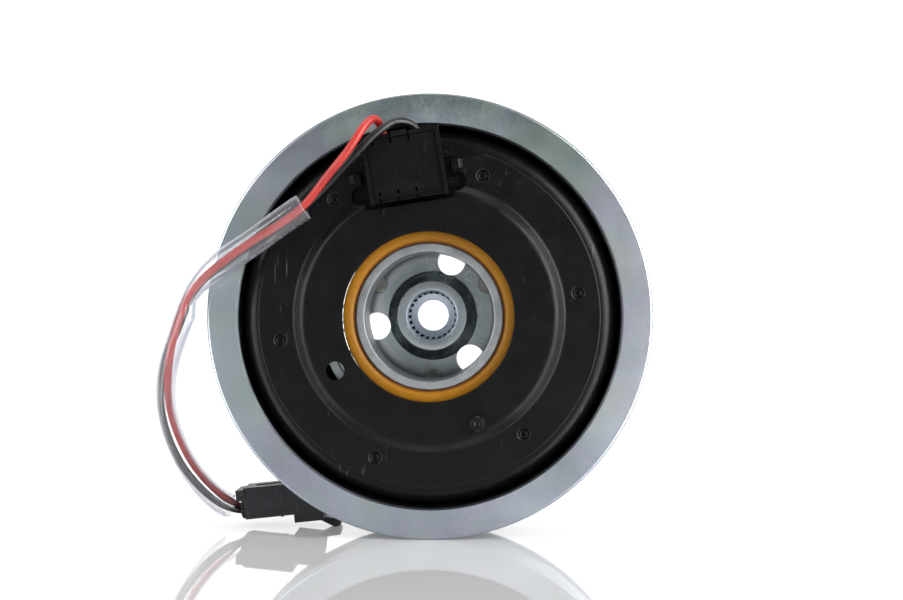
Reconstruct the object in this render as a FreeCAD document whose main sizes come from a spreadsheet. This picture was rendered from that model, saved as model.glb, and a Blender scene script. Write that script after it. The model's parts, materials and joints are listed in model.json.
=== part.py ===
import FreeCAD, Part
import math
import os
import re

import Sketcher
from FreeCAD import Placement, Rotation, Vector

# Electromagnetic clutch of an air-conditioning compressor, in millimetres.
# The clutch axis is +Y. Y = 0 is the rear face of the mounting plate, which seats on the
# compressor. The belt pulley, the air gap and the hub follow towards +Y. +Z is up.

# --- driving dimensions: alias, value, what it is ---------------------------------------
SIZES = [
    # mounting plate and coil
    ("coil_turn", -9.0, "angle of the coil about +Y, degrees"),
    ("plate_t", 3.0, "mounting plate thickness"),
    ("plate_bore_r", 22.75, "seat on the compressor nose"),
    ("plate_r", 46.0, "mounting plate outer radius"),
    ("plate_step", 2.0, "how far the outer ring of the plate is set back"),
    ("step_in_r", 33.8, "inner radius of the step"),
    ("step_out_r", 36.3, "outer radius of the step"),
    ("chord_z", 40.5, "flat cut across the plate under the terminal box"),
    ("window_half", 12.0, "half width of the window between the tabs"),
    ("window_low_z", 30.4, "lower edge of the window"),
    ("lobe_half", 15.5, "half width across the rounded lobes of the window"),
    ("lobe_z", 34.6, "height of the lobe centres"),
    ("lobe_r", 2.7, "radius of a lobe"),
    ("weld_pcr", 40.3, "pitch radius of the weld dimples"),
    ("weld_r", 2.35, "radius of a weld dimple"),
    ("weld_depth", 0.9, "depth of a weld dimple"),
    ("weld_count", 6, "number of weld dimples"),
    ("peep_pcr", 28.8, "pitch radius of the drain hole"),
    ("peep_r", 2.5, "radius of the drain hole"),
    ("peep_angle", 201.0, "angle of the drain hole before the coil is turned"),
    ("key_pcr", 31.0, "pitch radius of the locating pin"),
    ("key_r", 2.5, "radius of the locating pin in the plate"),
    ("key_end_r", 2.25, "radius of the locating pin where it stands out"),
    ("key_angle", 285.5, "angle of the locating pin before the coil is turned"),
    ("key_length", 2.6, "how far the locating pin stands out"),
    ("yoke_r", 50.6, "coil housing outer radius"),
    ("yoke_bore_r", 30.8, "coil housing inner radius"),
    ("yoke_wall", 3.3, "coil housing wall"),
    ("yoke_front", 26.2, "front edge of the coil housing"),
    ("yoke_corner", 4.8, "rear corner radius of the coil housing"),
    ("bobbin_t", 1.1, "bobbin wall"),
    ("bobbin_gap", 0.15, "gap between bobbin and housing"),
    ("potting_t", 2.6, "depth of the resin over the bobbin"),
    # terminal box
    ("box_half", 10.35, "half width of the terminal box"),
    ("box_low_z", 31.5, "lower edge of the terminal box"),
    ("box_high_z", 49.4, "upper edge of the terminal box"),
    ("box_rear", -3.6, "rear edge of the terminal box"),
    ("box_front", 4.9, "front face of the terminal box"),
    ("box_wall", 1.1, "terminal box wall"),
    ("lid_t", 1.3, "lid thickness"),
    ("lug_reach", 3.1, "how far the side lugs stand out"),
    ("lug_t", 1.5, "lug thickness"),
    ("lug_height", 2.7, "lug height"),
    ("lug_rise", 8.0, "distance between the two lugs of a side"),
    ("lug_first", 1.9, "lower lug above the box's lower edge"),
    ("lead_x", 4.4, "lead exits either side of the box's middle"),
    ("lead_y", 0.6, "height of the lead exits"),
    ("lead_r", 1.15, "lead radius over insulation"),
    ("lead_room", 0.3, "clearance around a lead where it enters the box"),
    ("notch_first", -7.5, "first snap notch from the box's middle"),
    ("notch_pitch", 4.85, "distance between snap notches"),
    ("notch_w", 1.6, "width of a snap notch"),
    ("block_x", 5.6, "inner edge of the raised block in the box's corner"),
    ("block_z", 44.6, "lower edge of the raised block"),
    ("post_w", 1.8, "width of a terminal"),
    # pulley
    ("rim_r", 60.0, "pulley outer radius"),
    ("rim_bore_r", 51.5, "pulley rim inner radius"),
    ("rim_rear", 4.0, "rear face of the pulley rim"),
    ("face_y", 32.0, "friction face of the pulley"),
    ("face_r", 55.2, "outer radius of the friction face"),
    ("wall_t", 5.0, "thickness of the friction wall"),
    ("rim_step", 0.9, "how far the rim is set back from the friction face"),
    ("belt_r", 58.8, "radius over the belt ribs"),
    ("belt_margin", 2.9, "flange width behind the first groove"),
    ("groove_pitch", 3.56, "distance between belt grooves"),
    ("groove_count", 6, "number of belt grooves"),
    ("groove_top", 2.9, "width of a groove at the ribs"),
    ("groove_floor", 0.74, "width of a groove at its floor"),
    ("groove_depth", 2.97, "depth of a groove"),
    ("slot_w", 2.4, "width of the flux slots"),
    ("slot_in_r", 34.6, "mean radius of the inner flux slots"),
    ("slot_out_r", 47.6, "mean radius of the outer flux slots"),
    ("slot_angle", 50.0, "angle of each flux slot"),
    ("slot_count", 6, "flux slots in a ring"),
    ("hub_wall_r", 30.0, "outer radius of the bearing seat"),
    ("hub_rear", 3.8, "rear edge of the bearing seat"),
    ("lip_r", 25.2, "inner radius of the lip that stops the bearing"),
    # bearing
    ("bearing_bore_r", 17.5, "bearing bore radius"),
    ("bearing_r", 27.5, "bearing outer radius"),
    ("bearing_rear", 4.2, "rear face of the bearing"),
    ("bearing_w", 20.0, "bearing width"),
    ("inner_land_r", 20.3, "inner race land radius"),
    ("inner_edge_r", 19.7, "inner race radius under the seals"),
    ("outer_land_r", 24.2, "outer race land radius"),
    ("outer_edge_r", 24.8, "outer race radius at the seals"),
    ("seal_room", 2.2, "depth of the seal seats"),
    ("ball_r", 2.75, "ball radius"),
    ("ball_pcr", 22.25, "ball pitch radius"),
    ("ball_play", 0.02, "clearance of balls in their tracks"),
    ("row_half", 4.3, "half distance between the ball rows"),
    ("ball_count", 16, "balls in a row"),
    ("cage_in_r", 21.2, "cage inner radius"),
    ("cage_out_r", 23.3, "cage outer radius"),
    # armature and hub
    ("air_gap", 0.5, "gap between armature and friction face"),
    ("armature_t", 4.5, "armature thickness"),
    ("armature_r", 54.0, "armature outer radius"),
    ("armature_bore_r", 30.5, "armature inner radius"),
    ("armature_slot_r", 41.1, "mean radius of the armature slots"),
    ("armature_slot_angle", 84.0, "angle of each armature slot"),
    ("hub_end", 26.0, "rear end of the splined boss"),
    ("boss_r", 10.1, "radius of the splined boss"),
    ("root_fillet", 2.9, "fillet between boss and flange"),
    ("flange_rear", 33.2, "rear face of the hub flange"),
    ("flange_r", 23.0, "hub flange radius"),
    ("nose_r", 11.0, "radius of the hub's front boss"),
    ("nose_y", 41.4, "front face of the hub"),
    ("bolt_seat_r", 8.6, "radius of the bolt's counterbore"),
    ("bolt_seat_y", 39.9, "floor of the bolt's counterbore"),
    ("bolt_r", 4.45, "radius of the bolt hole"),
    ("spline_minor_r", 6.35, "spline tip radius"),
    ("spline_major_r", 6.9, "spline root radius"),
    ("spline_mouth_r", 7.4, "radius of the chamfer at the spline's mouth"),
    ("spline_end", 36.2, "depth of the spline"),
    ("spline_teeth", 24, "spline teeth"),
    ("spline_gap", 0.85, "width of a tooth space"),
    ("puller_pcr", 16.45, "pitch radius of the puller holes"),
    ("puller_r", 3.95, "radius of the puller holes"),
    ("puller_angle", 71.0, "angle of the first puller hole"),
    ("rivet_pcr", 18.1, "pitch radius of the hub rivets"),
    ("rivet_angle", 30.0, "angle of the first hub rivet"),
    ("rivet_r", 2.55, "rivet shank radius"),
    ("rivet_head_r", 4.2, "rivet head radius"),
    ("rivet_head_t", 1.5, "rivet head height"),
    ("leaf_t", 0.55, "thickness of one leaf"),
    ("leaf_w", 11.0, "leaf width"),
    ("tip_pcr", 41.1, "pitch radius of the armature rivets"),
    ("tip_angle", -22.0, "angle of the first armature rivet"),
    ("tip_rivet_r", 2.2, "armature rivet shank radius"),
    ("tip_head_r", 3.9, "armature rivet head radius"),
    ("plate3_t", 2.2, "stop plate thickness"),
    ("plate3_bore_r", 11.4, "stop plate bore"),
    ("stop_pcr", 41.1, "pitch radius of the rubber stops"),
    ("stop_angle", 38.0, "angle of the first rubber stop"),
    ("stop_r", 4.4, "radius of a rubber stop's neck"),
    ("stop_foot_r", 6.0, "radius of a rubber stop's foot"),
    ("arm_end_r", 8.4, "radius of the stop plate's arm ends"),
    # harness
    ("sleeve_r", 3.7, "clear sleeve outer radius"),
    ("sleeve_wall", 0.35, "clear sleeve wall"),
    ("plug_x", -52.5, "lead end of the connector's body"),
    ("plug_y", 28.0, "middle of the connector"),
    ("plug_z", -57.6, "underside of the connector's body at its lead end"),
    ("plug_pitch", 6.0, "how far the connector's far end is tipped up, degrees"),
    ("plug_body", 14.2, "length of the connector's body"),
    ("plug_end", 22.0, "far end of the socket from the lead end"),
    ("plug_w", 11.6, "connector width"),
    ("plug_tall", 8.8, "connector height"),
    ("plug_lean", 0.6, "how far the upper half of the near side leans back"),
    ("plug_fold", 4.7, "height at which the near side starts to lean"),
    ("plug_wall", 1.0, "connector wall"),
    ("collar_out", 2.3, "how far the collar stands out at the lead end"),
    ("collar_low", 5.2, "lower edge of the collar"),
    ("guide_out", 0.9, "how far the lead guide stands out under the collar"),
    ("socket_drop", 2.35, "how far the socket reaches below the body"),
    ("socket_top", 3.2, "top of the socket"),
    ("socket_deep", 9.0, "depth of the connector's socket"),
    ("latch_from", 19.4, "root of the latch tongue"),
    ("latch_end", 26.3, "tip of the latch tongue"),
    ("latch_half", 3.0, "half width of the latch tongue"),
    ("latch_drop", 4.95, "how far the latch tongue reaches below the body"),
    ("lead_rise", 2.3, "height of the leads in the connector"),
    ("lead_bore", 0.6, "clearance around a lead in the connector"),
    ("lead_depth", 8.0, "how deep the leads end in the connector"),
    ("contact_gap", 4.0, "distance between the two contacts"),
    ("contact_w", 2.0, "contact width"),
    ("contact_t", 0.8, "contact thickness"),
    ("contact_under", 0.3, "how far a contact lies under the middle of its lead"),
    ("contact_end", 19.5, "tip of the contacts from the lead end"),
    ("seal_gap", 0.1, "clearance between a lead and its seal"),
    ("wire_seal_from", 3.0, "lead end of the two lead seals"),
    ("wire_seal_to", 6.5, "contact end of the two lead seals"),
    ("collar_in", 0.8, "how far the collar's sides stand in from the body's"),
]

doc = FreeCAD.newDocument("clutch")
sheet = doc.addObject("Spreadsheet::Sheet", "Sizes")
for row, (alias, value, meaning) in enumerate(SIZES, start=1):
    sheet.set(f"A{row}", meaning)
    sheet.set(f"B{row}", str(value))
    sheet.setAlias(f"B{row}", alias)
doc.recompute()
ALIASES = {alias for alias, _, _ in SIZES}
WORD = re.compile(r"[a-z_][a-z_0-9]*")


# --- helpers ----------------------------------------------------------------------------
def bound(text):
    """The expression with each alias written as a cell of the sheet."""
    return WORD.sub(lambda m: f"Sizes.{m.group(0)}" if m.group(0) in ALIASES else m.group(0), str(text))


def val(text):
    """The number that an expression over the aliases gives now."""
    found = sheet.evalExpression(bound(text))
    return float(getattr(found, "Value", found))


def tie(obj, prop, text):
    """Binds a property to an expression over the sheet."""
    obj.setExpression(prop, bound(text))


def new_body(name):
    body = doc.addObject("PartDesign::Body", name)
    body.Label = name
    return body


def origin(body, role):
    return next(f for f in body.Origin.OriginFeatures if f.Role == role)


def new_sketch(body, role="XY_Plane", y="0"):
    """A sketch on an origin plane. On XZ_Plane the sketch's plane is moved to Y = y."""
    sk = body.newObject("Sketcher::SketchObject", "Sketch")
    sk.AttachmentSupport = (origin(body, role), [""])
    sk.MapMode = "FlatFace"
    if role == "XZ_Plane":
        # this plane's own normal is -Y
        tie(sk, ".AttachmentOffset.Base.z", f"-({y})")
    return sk


def fix_point(sk, geo, pos, x, y):
    """Holds a point of the sketch at two expressions."""
    for kind, axis, text in (("DistanceX", -2, x), ("DistanceY", -1, y)):
        number = val(text)
        if abs(number) < 1e-9:
            sk.addConstraint(Sketcher.Constraint("PointOnObject", geo, pos, axis))
            continue
        index = sk.addConstraint(Sketcher.Constraint(kind, -1, 1, geo, pos, number))
        tie(sk, f"Constraints[{index}]", text)


def outline(sk, points):
    """A closed polygon through points given as pairs of expressions."""
    spots = [Vector(val(x), val(y), 0) for x, y in points]
    first = sk.GeometryCount
    count = len(spots)
    for i in range(count):
        sk.addGeometry(Part.LineSegment(spots[i], spots[(i + 1) % count]), False)
    for i in range(count):
        after = first + (i + 1) % count
        sk.addConstraint(Sketcher.Constraint("Coincident", first + i, 2, after, 1))
    for i, (x, y) in enumerate(points):
        fix_point(sk, first + i, 1, x, y)


def circle(sk, x, y, radius):
    geo = sk.addGeometry(Part.Circle(Vector(val(x), val(y), 0), Vector(0, 0, 1), val(radius)), False)
    index = sk.addConstraint(Sketcher.Constraint("Radius", geo, val(radius)))
    tie(sk, f"Constraints[{index}]", radius)
    fix_point(sk, geo, 3, x, y)


def turn(body, points, kind="Revolution", angle="360", midplane=False):
    """A solid of revolution about Y, or a groove, from an outline of (radius, y) pairs."""
    sk = new_sketch(body)
    outline(sk, points)
    feature = body.newObject(f"PartDesign::{kind}", kind)
    feature.Profile = sk
    feature.ReferenceAxis = (sk, ["V_Axis"])
    tie(feature, "Angle", angle)
    feature.Midplane = midplane
    doc.recompute()
    return feature


def turn_local(body, pitch, points, kind="Revolution"):
    """Turns an outline of (x offset, y) pairs about a line along Y at x = pitch."""
    sk = new_sketch(body)
    outline(sk, [(f"{pitch} + {x}", y) for x, y in points])
    return turn_sketch(body, sk, pitch, kind)


def turn_sketch(body, sk, pitch, kind):
    """Turns a sketch about a line along Y at x = pitch."""
    line = sk.addGeometry(Part.LineSegment(Vector(val(pitch), -5, 0), Vector(val(pitch), 45, 0)), True)
    fix_point(sk, line, 1, pitch, "-5")
    fix_point(sk, line, 2, pitch, "45")
    feature = body.newObject(f"PartDesign::{kind}", kind)
    feature.Profile = sk
    feature.ReferenceAxis = (sk, ["Axis0"])
    feature.Angle = 360
    doc.recompute()
    return feature


def slab(body, draw, low, high, kind="Pad"):
    """What draw(sketch) draws, padded or pocketed from Y = low to Y = high."""
    # a pad grows along the sketch's normal, -Y, and a pocket cuts against it, towards +Y
    sk = new_sketch(body, "XZ_Plane", high if kind == "Pad" else low)
    draw(sk)
    feature = body.newObject(f"PartDesign::{kind}", kind)
    feature.Profile = sk
    before = body.Shape.Volume if kind == "Pocket" else 0.0
    tie(feature, "Length", f"({high}) - ({low})")
    doc.recompute()
    if kind == "Pocket" and feature.Shape.Volume > before - 1e-6:
        raise RuntimeError(f"{body.Label}: a pocket cuts nothing")
    return feature


def stack(body, draw, low, high, kind="Pad", role="XY_Plane"):
    """As slab, but along Z, or along X when the role is YZ_Plane."""
    sk = new_sketch(body, role)
    tie(sk, ".AttachmentOffset.Base.z", low if kind == "Pad" else high)
    draw(sk)
    feature = body.newObject(f"PartDesign::{kind}", kind)
    feature.Profile = sk
    before = body.Shape.Volume if kind == "Pocket" else 0.0
    tie(feature, "Length", f"({high}) - ({low})")
    doc.recompute()
    if kind == "Pocket" and feature.Shape.Volume > before - 1e-6:
        raise RuntimeError(f"{body.Label}: a pocket cuts nothing")
    return feature


def around(body, features, count):
    """Repeats features evenly about the clutch axis."""
    pattern = body.newObject("PartDesign::PolarPattern", "PolarPattern")
    pattern.Originals = features
    pattern.Axis = (origin(body, "Y_Axis"), [""])
    pattern.Angle = 360
    tie(pattern, "Occurrences", count)
    body.Tip = pattern
    doc.recompute()
    return pattern


def ring_edges(shape, radius, y):
    """Names of the circular edges of this radius about the axis at this height."""
    names = []
    for i, edge in enumerate(shape.Edges, start=1):
        curve = edge.Curve
        if not isinstance(curve, Part.Circle):
            continue
        centre = curve.Center
        on_axis = math.hypot(centre.x, centre.z) < 1e-4
        if on_axis and abs(curve.Radius - radius) < 1e-4 and abs(centre.y - y) < 1e-4:
            names.append(f"Edge{i}")
    return names


def round_rings(body, rings, size, kind="Fillet"):
    """Fillets or chamfers the circular edges given as (radius, y) pairs of expressions."""
    base = body.Tip
    names = [n for r, y in rings for n in ring_edges(base.Shape, val(r), val(y))]
    if len(names) < len(rings):
        raise RuntimeError(f"{body.Label}: an edge to round is missing, found {names}")
    feature = body.newObject(f"PartDesign::{kind}", kind)
    feature.Base = (base, names)
    tie(feature, "Radius" if kind == "Fillet" else "Size", size)
    doc.recompute()
    return feature


def polar(pitch, angle):
    """The (x, z) expressions of a point at a pitch radius and an angle from +X towards +Z."""
    return f"({pitch}) * cos({angle})", f"({pitch}) * sin({angle})"


def turned(angle):
    """Placement turned about the clutch axis, the right-hand way round +Y."""
    return Placement(Vector(0, 0, 0), Rotation(Vector(0, 1, 0), val(angle)))


def coil_part(body):
    """Turns a sub-part of the coil to where the coil sits."""
    body.Placement = turned("coil_turn") * body.Placement
    return body


# --- coil -------------------------------------------------------------------------------
PLATE_FRONT = "plate_step + plate_t"
THROUGH = ("-1", f"{PLATE_FRONT} + 1")


def rectangle(sk, x1, x2, y1, y2):
    outline(sk, [(x1, y1), (x2, y1), (x2, y2), (x1, y2)])


def make_mounting_plate():
    """Stamped steel plate: a raised inner ring that seats on the compressor, a step, and an
    outer ring that is projection-welded to the coil housing."""
    body = new_body("mounting_plate")
    turn(body, [
        ("plate_bore_r", "0"),
        ("step_in_r", "0"),
        ("step_out_r", "plate_step"),
        ("plate_r", "plate_step"),
        ("plate_r", PLATE_FRONT),
        ("step_out_r - 0.9", PLATE_FRONT),
        ("step_in_r - 0.9", "plate_t"),
        ("plate_bore_r", "plate_t"),
    ])
    round_rings(body, [("step_in_r", "0")], "3.0")
    round_rings(body, [("step_out_r", "plate_step")], "1.2")
    round_rings(body, [("plate_r", "plate_step")], "0.5")
    round_rings(body, [("plate_bore_r", "plate_t")], "0.3", "Chamfer")
    cut_box_window(body)
    dimple = turn_local(body, "weld_pcr", [
        ("0", "plate_step - 0.5"),
        ("weld_r", "plate_step - 0.5"),
        ("weld_r", "plate_step"),
        ("0.55 * weld_r", "plate_step + weld_depth"),
        ("0.32 * weld_r", "plate_step + weld_depth"),
        ("0", "plate_step + 0.35 * weld_depth"),
    ], "Groove")
    around(body, [dimple], "weld_count")
    for pitch, angle, radius in (("peep_pcr", "peep_angle", "peep_r"), ("key_pcr", "key_angle", "key_r")):
        x, z = polar(pitch, angle)
        slab(body, lambda sk: circle(sk, x, z, radius), *THROUGH, "Pocket")
    for side in ("", "-"):
        bend_tab(body, side)
    return coil_part(body)


def cut_box_window(body):
    """The window for the terminal box, with a rounded lobe each side and a flat cut above."""
    slab(body, lambda sk: outline(sk, [
        ("-window_half", "window_low_z"),
        ("window_half", "window_low_z"),
        ("window_half", "chord_z"),
        ("plate_r", "chord_z"),
        ("plate_r", "plate_r + 2"),
        ("-plate_r", "plate_r + 2"),
        ("-plate_r", "chord_z"),
        ("-window_half", "chord_z"),
    ]), *THROUGH, "Pocket")
    for side in ("", "-"):
        centre = f"{side}(lobe_half - lobe_r)"
        slab(body, lambda sk: circle(sk, centre, "lobe_z", "lobe_r"), *THROUGH, "Pocket")
        slab(body, lambda sk: rectangle(sk, f"{side}(window_half - 1)", centre, "lobe_z - lobe_r",
                                        "lobe_z + lobe_r"), *THROUGH, "Pocket")


def bend_tab(body, side):
    """A tongue of the plate beside the terminal box, bent back so that it holds the box."""
    sk = new_sketch(body)
    outline(sk, [
        (f"{side}(window_half + 4)", "plate_step"),
        (f"{side}(window_half + 4)", "plate_step + 1.6"),
        (f"{side}(window_half + 1.6)", "plate_step + 0.6"),
        (f"{side}(window_half - 0.4)", "plate_step + 0.6"),
        (f"{side}(window_half - 0.4)", "plate_step - 0.9"),
        (f"{side}(window_half + 1.9)", "plate_step - 0.9"),
    ])
    tie(sk, ".AttachmentOffset.Base.z", "chord_z - 2.7")
    pad = body.newObject("PartDesign::Pad", "Tab")
    pad.Profile = sk
    tie(pad, "Length", "2.7")
    doc.recompute()


def make_locating_pin():
    """Pin pressed through the mounting plate: a thinner end with a shallow dimple stands out."""
    body = new_body("locating_pin")
    turn(body, [
        ("0", "-key_length + 0.4"),
        ("0.7", "-key_length"),
        ("key_end_r - 0.8", "-key_length"),
        ("key_end_r", "-key_length + 0.8"),
        ("key_end_r", "0"),
        ("key_r", "0"),
        ("key_r", "plate_t - 0.3"),
        ("key_r - 0.3", "plate_t"),
        ("0", "plate_t"),
    ])
    x, z = polar("key_pcr", "key_angle")
    body.Placement = Placement(Vector(val(x), 0, val(z)), Rotation())
    return coil_part(body)


def make_coil_housing():
    """Pressed steel channel, open to the front, with a rounded rear corner."""
    body = new_body("coil_housing")
    rear, floor = PLATE_FRONT, f"{PLATE_FRONT} + yoke_wall"
    turn(body, [
        ("yoke_bore_r", rear),
        ("yoke_r", rear),
        ("yoke_r", "yoke_front"),
        ("yoke_r - yoke_wall", "yoke_front"),
        ("yoke_r - yoke_wall", floor),
        ("yoke_bore_r + yoke_wall", floor),
        ("yoke_bore_r + yoke_wall", "yoke_front"),
        ("yoke_bore_r", "yoke_front"),
    ])
    round_rings(body, [("yoke_r", rear)], "yoke_corner")
    round_rings(body, [("yoke_bore_r", rear)], "1.5")
    round_rings(body, [("yoke_r", "yoke_front"), ("yoke_bore_r", "yoke_front")], "0.4", "Chamfer")
    slab(body, lambda sk: rectangle(sk, "-lead_x - 2.6", "lead_x + 2.6", "37", "41"),
         f"{rear} - 1", f"{floor} + 1", "Pocket")
    return coil_part(body)


def make_coil_inside():
    """Nylon bobbin, the copper winding in it, and the resin that fills the channel's mouth."""
    inner = "yoke_bore_r + yoke_wall + bobbin_gap"
    outer = "yoke_r - yoke_wall - bobbin_gap"
    rear = f"{PLATE_FRONT} + yoke_wall + bobbin_gap"
    front = "yoke_front - potting_t"
    bobbin = new_body("coil_bobbin")
    turn(bobbin, [
        (inner, rear),
        (outer, rear),
        (outer, f"{rear} + bobbin_t"),
        (f"{inner} + bobbin_t", f"{rear} + bobbin_t"),
        (f"{inner} + bobbin_t", f"{front} - bobbin_t"),
        (outer, f"{front} - bobbin_t"),
        (outer, front),
        (inner, front),
    ])
    winding = new_body("coil_winding")
    turn(winding, [
        (f"{inner} + bobbin_t + 0.05", f"{rear} + bobbin_t + 0.05"),
        (f"{outer} - 0.8", f"{rear} + bobbin_t + 0.05"),
        (f"{outer} - 0.8", f"{front} - bobbin_t - 0.05"),
        (f"{inner} + bobbin_t + 0.05", f"{front} - bobbin_t - 0.05"),
    ])
    round_rings(winding, [(f"{outer} - 0.8", f"{rear} + bobbin_t + 0.05"),
                          (f"{outer} - 0.8", f"{front} - bobbin_t - 0.05")], "0.8")
    potting = new_body("coil_potting")
    turn(potting, [
        ("yoke_bore_r + yoke_wall", front),
        ("yoke_r - yoke_wall", front),
        ("yoke_r - yoke_wall", "yoke_front - 0.3"),
        ("yoke_r - yoke_wall - 3", "yoke_front - 0.6"),
        ("yoke_bore_r + yoke_wall + 3", "yoke_front - 0.6"),
        ("yoke_bore_r + yoke_wall", "yoke_front - 0.3"),
    ])
    return [coil_part(b) for b in (bobbin, winding, potting)]


def make_terminal_box():
    """Moulded box over the winding's ends, open to the rear for its lid, with two lugs a side
    under the plate, snap notches above and below, and two holes for the leads."""
    body = new_body("terminal_box")
    slab(body, lambda sk: rectangle(sk, "-box_half", "box_half", "box_low_z", "box_high_z"),
         "box_rear", "box_front")
    slab(body, lambda sk: rectangle(sk, "block_x", "box_half", "block_z", "box_high_z + 0.7"),
         "box_rear - 0.5", "box_front - 4")
    slab(body, lambda sk: rectangle(sk, "-box_half + box_wall", "box_half - box_wall",
                                    "box_low_z + box_wall", "box_high_z - box_wall"),
         "box_rear - 1", "box_front - 1.5", "Pocket")
    for side in ("", "-"):
        for rise in ("0", "lug_rise"):
            low = f"box_low_z + lug_first + {rise}"
            root, tip = f"{side}(box_half - 0.5)", f"{side}(box_half + lug_reach)"
            slab(body, lambda sk: rectangle(sk, root, tip, low, f"{low} + lug_height"),
                 "box_front - 0.1 - lug_t", "box_front - 0.1")
        stack(body, lambda sk: circle(sk, f"{side}lead_x", "lead_y", "lead_r + lead_room"),
              "box_high_z - 3", "box_high_z + 3", "Pocket")
        near, far = f"{side}(lead_x - post_w/2 - 0.3)", f"{side}(lead_x + post_w/2 + 0.3)"
        slab(body, lambda sk: rectangle(sk, near, far, "38", "40.2"),
             "box_front - 3", "box_front + 1", "Pocket")
    for wall_z in ("box_low_z", "box_high_z"):
        for i in range(3):
            centre = f"notch_first + {i} * notch_pitch"
            slab(body, lambda sk: rectangle(sk, f"{centre} - notch_w/2", f"{centre} + notch_w/2",
                                            f"{wall_z} - 0.55", f"{wall_z} + 0.55"),
                 "box_rear - 1", "box_rear + 1.2", "Pocket")
    return coil_part(body)


def make_terminal_lid():
    """Lid that snaps into the open rear of the terminal box, a little below its walls."""
    body = new_body("terminal_box_lid")
    gap = "0.08"
    slab(body, lambda sk: outline(sk, [
        (f"-box_half + box_wall + {gap}", f"box_low_z + box_wall + {gap}"),
        (f"box_half - box_wall - {gap}", f"box_low_z + box_wall + {gap}"),
        (f"box_half - box_wall - {gap}", f"box_high_z - box_wall - {gap}"),
        (f"-box_half + box_wall + {gap}", f"box_high_z - box_wall - {gap}"),
    ]), "box_rear + 0.4", "box_rear + 0.4 + lid_t")
    for x in ("-5.2", "-1.0"):
        slab(body, lambda sk: rectangle(sk, x, f"{x} + 0.7", "box_low_z + 2", "box_high_z - 2"),
             "box_rear + 0.15", "box_rear + 0.6")
    return coil_part(body)


def make_coil_terminals():
    """Two brass crimps that join the winding's ends to the leads inside the box."""
    body = new_body("coil_terminals")
    for side in ("", "-"):
        low, high = f"{side}lead_x - post_w/2", f"{side}lead_x + post_w/2"
        slab(body, lambda sk: rectangle(sk, low, high, "38.6", "44"), "0", "1.2")
        slab(body, lambda sk: rectangle(sk, low, high, "38.6", "39.6"),
             "1", f"{PLATE_FRONT} + yoke_wall + bobbin_gap")
    return coil_part(body)


# --- pulley -----------------------------------------------------------------------------
def make_pulley_rotor():
    """Belt rim, friction wall with two rings of flux slots, and the seat of the bearing."""
    body = new_body("pulley_rotor")
    belt_low = "rim_rear + belt_margin"
    belt_high = f"{belt_low} + groove_count * groove_pitch"
    wall_rear = "face_y - wall_t"
    bearing_front = "bearing_rear + bearing_w"
    turn(body, [
        ("rim_bore_r", "rim_rear"),
        ("rim_r", "rim_rear"),
        ("rim_r", belt_low),
        ("belt_r", belt_low),
        ("belt_r", belt_high),
        ("rim_r", belt_high),
        ("rim_r", "face_y - rim_step"),
        ("face_r", "face_y - rim_step"),
        ("face_r", "face_y"),
        ("lip_r", "face_y"),
        ("lip_r", bearing_front),
        ("bearing_r", bearing_front),
        ("bearing_r", "hub_rear"),
        ("hub_wall_r", "hub_rear"),
        ("hub_wall_r", wall_rear),
        ("rim_bore_r", wall_rear),
    ])
    round_rings(body, [("hub_wall_r", wall_rear), ("rim_bore_r", wall_rear)], "2.0")
    round_rings(body, [("rim_r", "rim_rear"), ("rim_r", "face_y - rim_step")], "0.8")
    round_rings(body, [("rim_bore_r", "rim_rear")], "0.5", "Chamfer")
    round_rings(body, [("hub_wall_r", "hub_rear")], "0.3", "Chamfer")
    round_rings(body, [("lip_r", "face_y"), ("face_r", "face_y")], "0.6", "Chamfer")
    belt_groove(body, f"{belt_low} + groove_pitch/2")
    for radius in ("slot_in_r", "slot_out_r"):
        arc_slots(body, radius, "slot_w", "slot_angle", "slot_count", f"{wall_rear} - 1", "face_y + 1")
    return body


def belt_groove(body, middle):
    """One V groove of the belt rim, repeated along the axis."""
    groove = turn(body, [
        ("belt_r + 0.5", f"{middle} - groove_top/2"),
        ("belt_r", f"{middle} - groove_top/2"),
        ("belt_r - groove_depth", f"{middle} - groove_floor/2"),
        ("belt_r - groove_depth", f"{middle} + groove_floor/2"),
        ("belt_r", f"{middle} + groove_top/2"),
        ("belt_r + 0.5", f"{middle} + groove_top/2"),
    ], "Groove")
    pattern = body.newObject("PartDesign::LinearPattern", "BeltGrooves")
    pattern.Originals = [groove]
    pattern.Direction = (origin(body, "Y_Axis"), [""])
    tie(pattern, "Length", "groove_pitch * (groove_count - 1)")
    tie(pattern, "Occurrences", "groove_count")
    body.Tip = pattern
    doc.recompute()


def arc_slots(body, radius, width, span, count, low, high):
    """Round-ended arc slots through a wall, evenly spaced."""
    cuts = [turn(body, [
        (f"{radius} - {width}/2", low),
        (f"{radius} + {width}/2", low),
        (f"{radius} + {width}/2", high),
        (f"{radius} - {width}/2", high),
    ], "Groove", span, midplane=True)]
    for sign in ("", "-"):
        x, z = polar(radius, f"{sign}{span}/2")
        cuts.append(slab(body, lambda sk: circle(sk, x, z, f"{width}/2"), low, high, "Pocket"))
    around(body, cuts, count)


# --- bearing ----------------------------------------------------------------------------
BEARING_FRONT = "bearing_rear + bearing_w"
ROWS = [f"bearing_rear + bearing_w/2 {sign} row_half" for sign in ("-", "+")]


def ball_tracks(body):
    for row in ROWS:
        sk = new_sketch(body)
        circle(sk, "ball_pcr", row, "ball_r + ball_play")
        track = body.newObject("PartDesign::Groove", "Track")
        track.Profile = sk
        track.ReferenceAxis = (sk, ["V_Axis"])
        track.Angle = 360
        doc.recompute()


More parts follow.
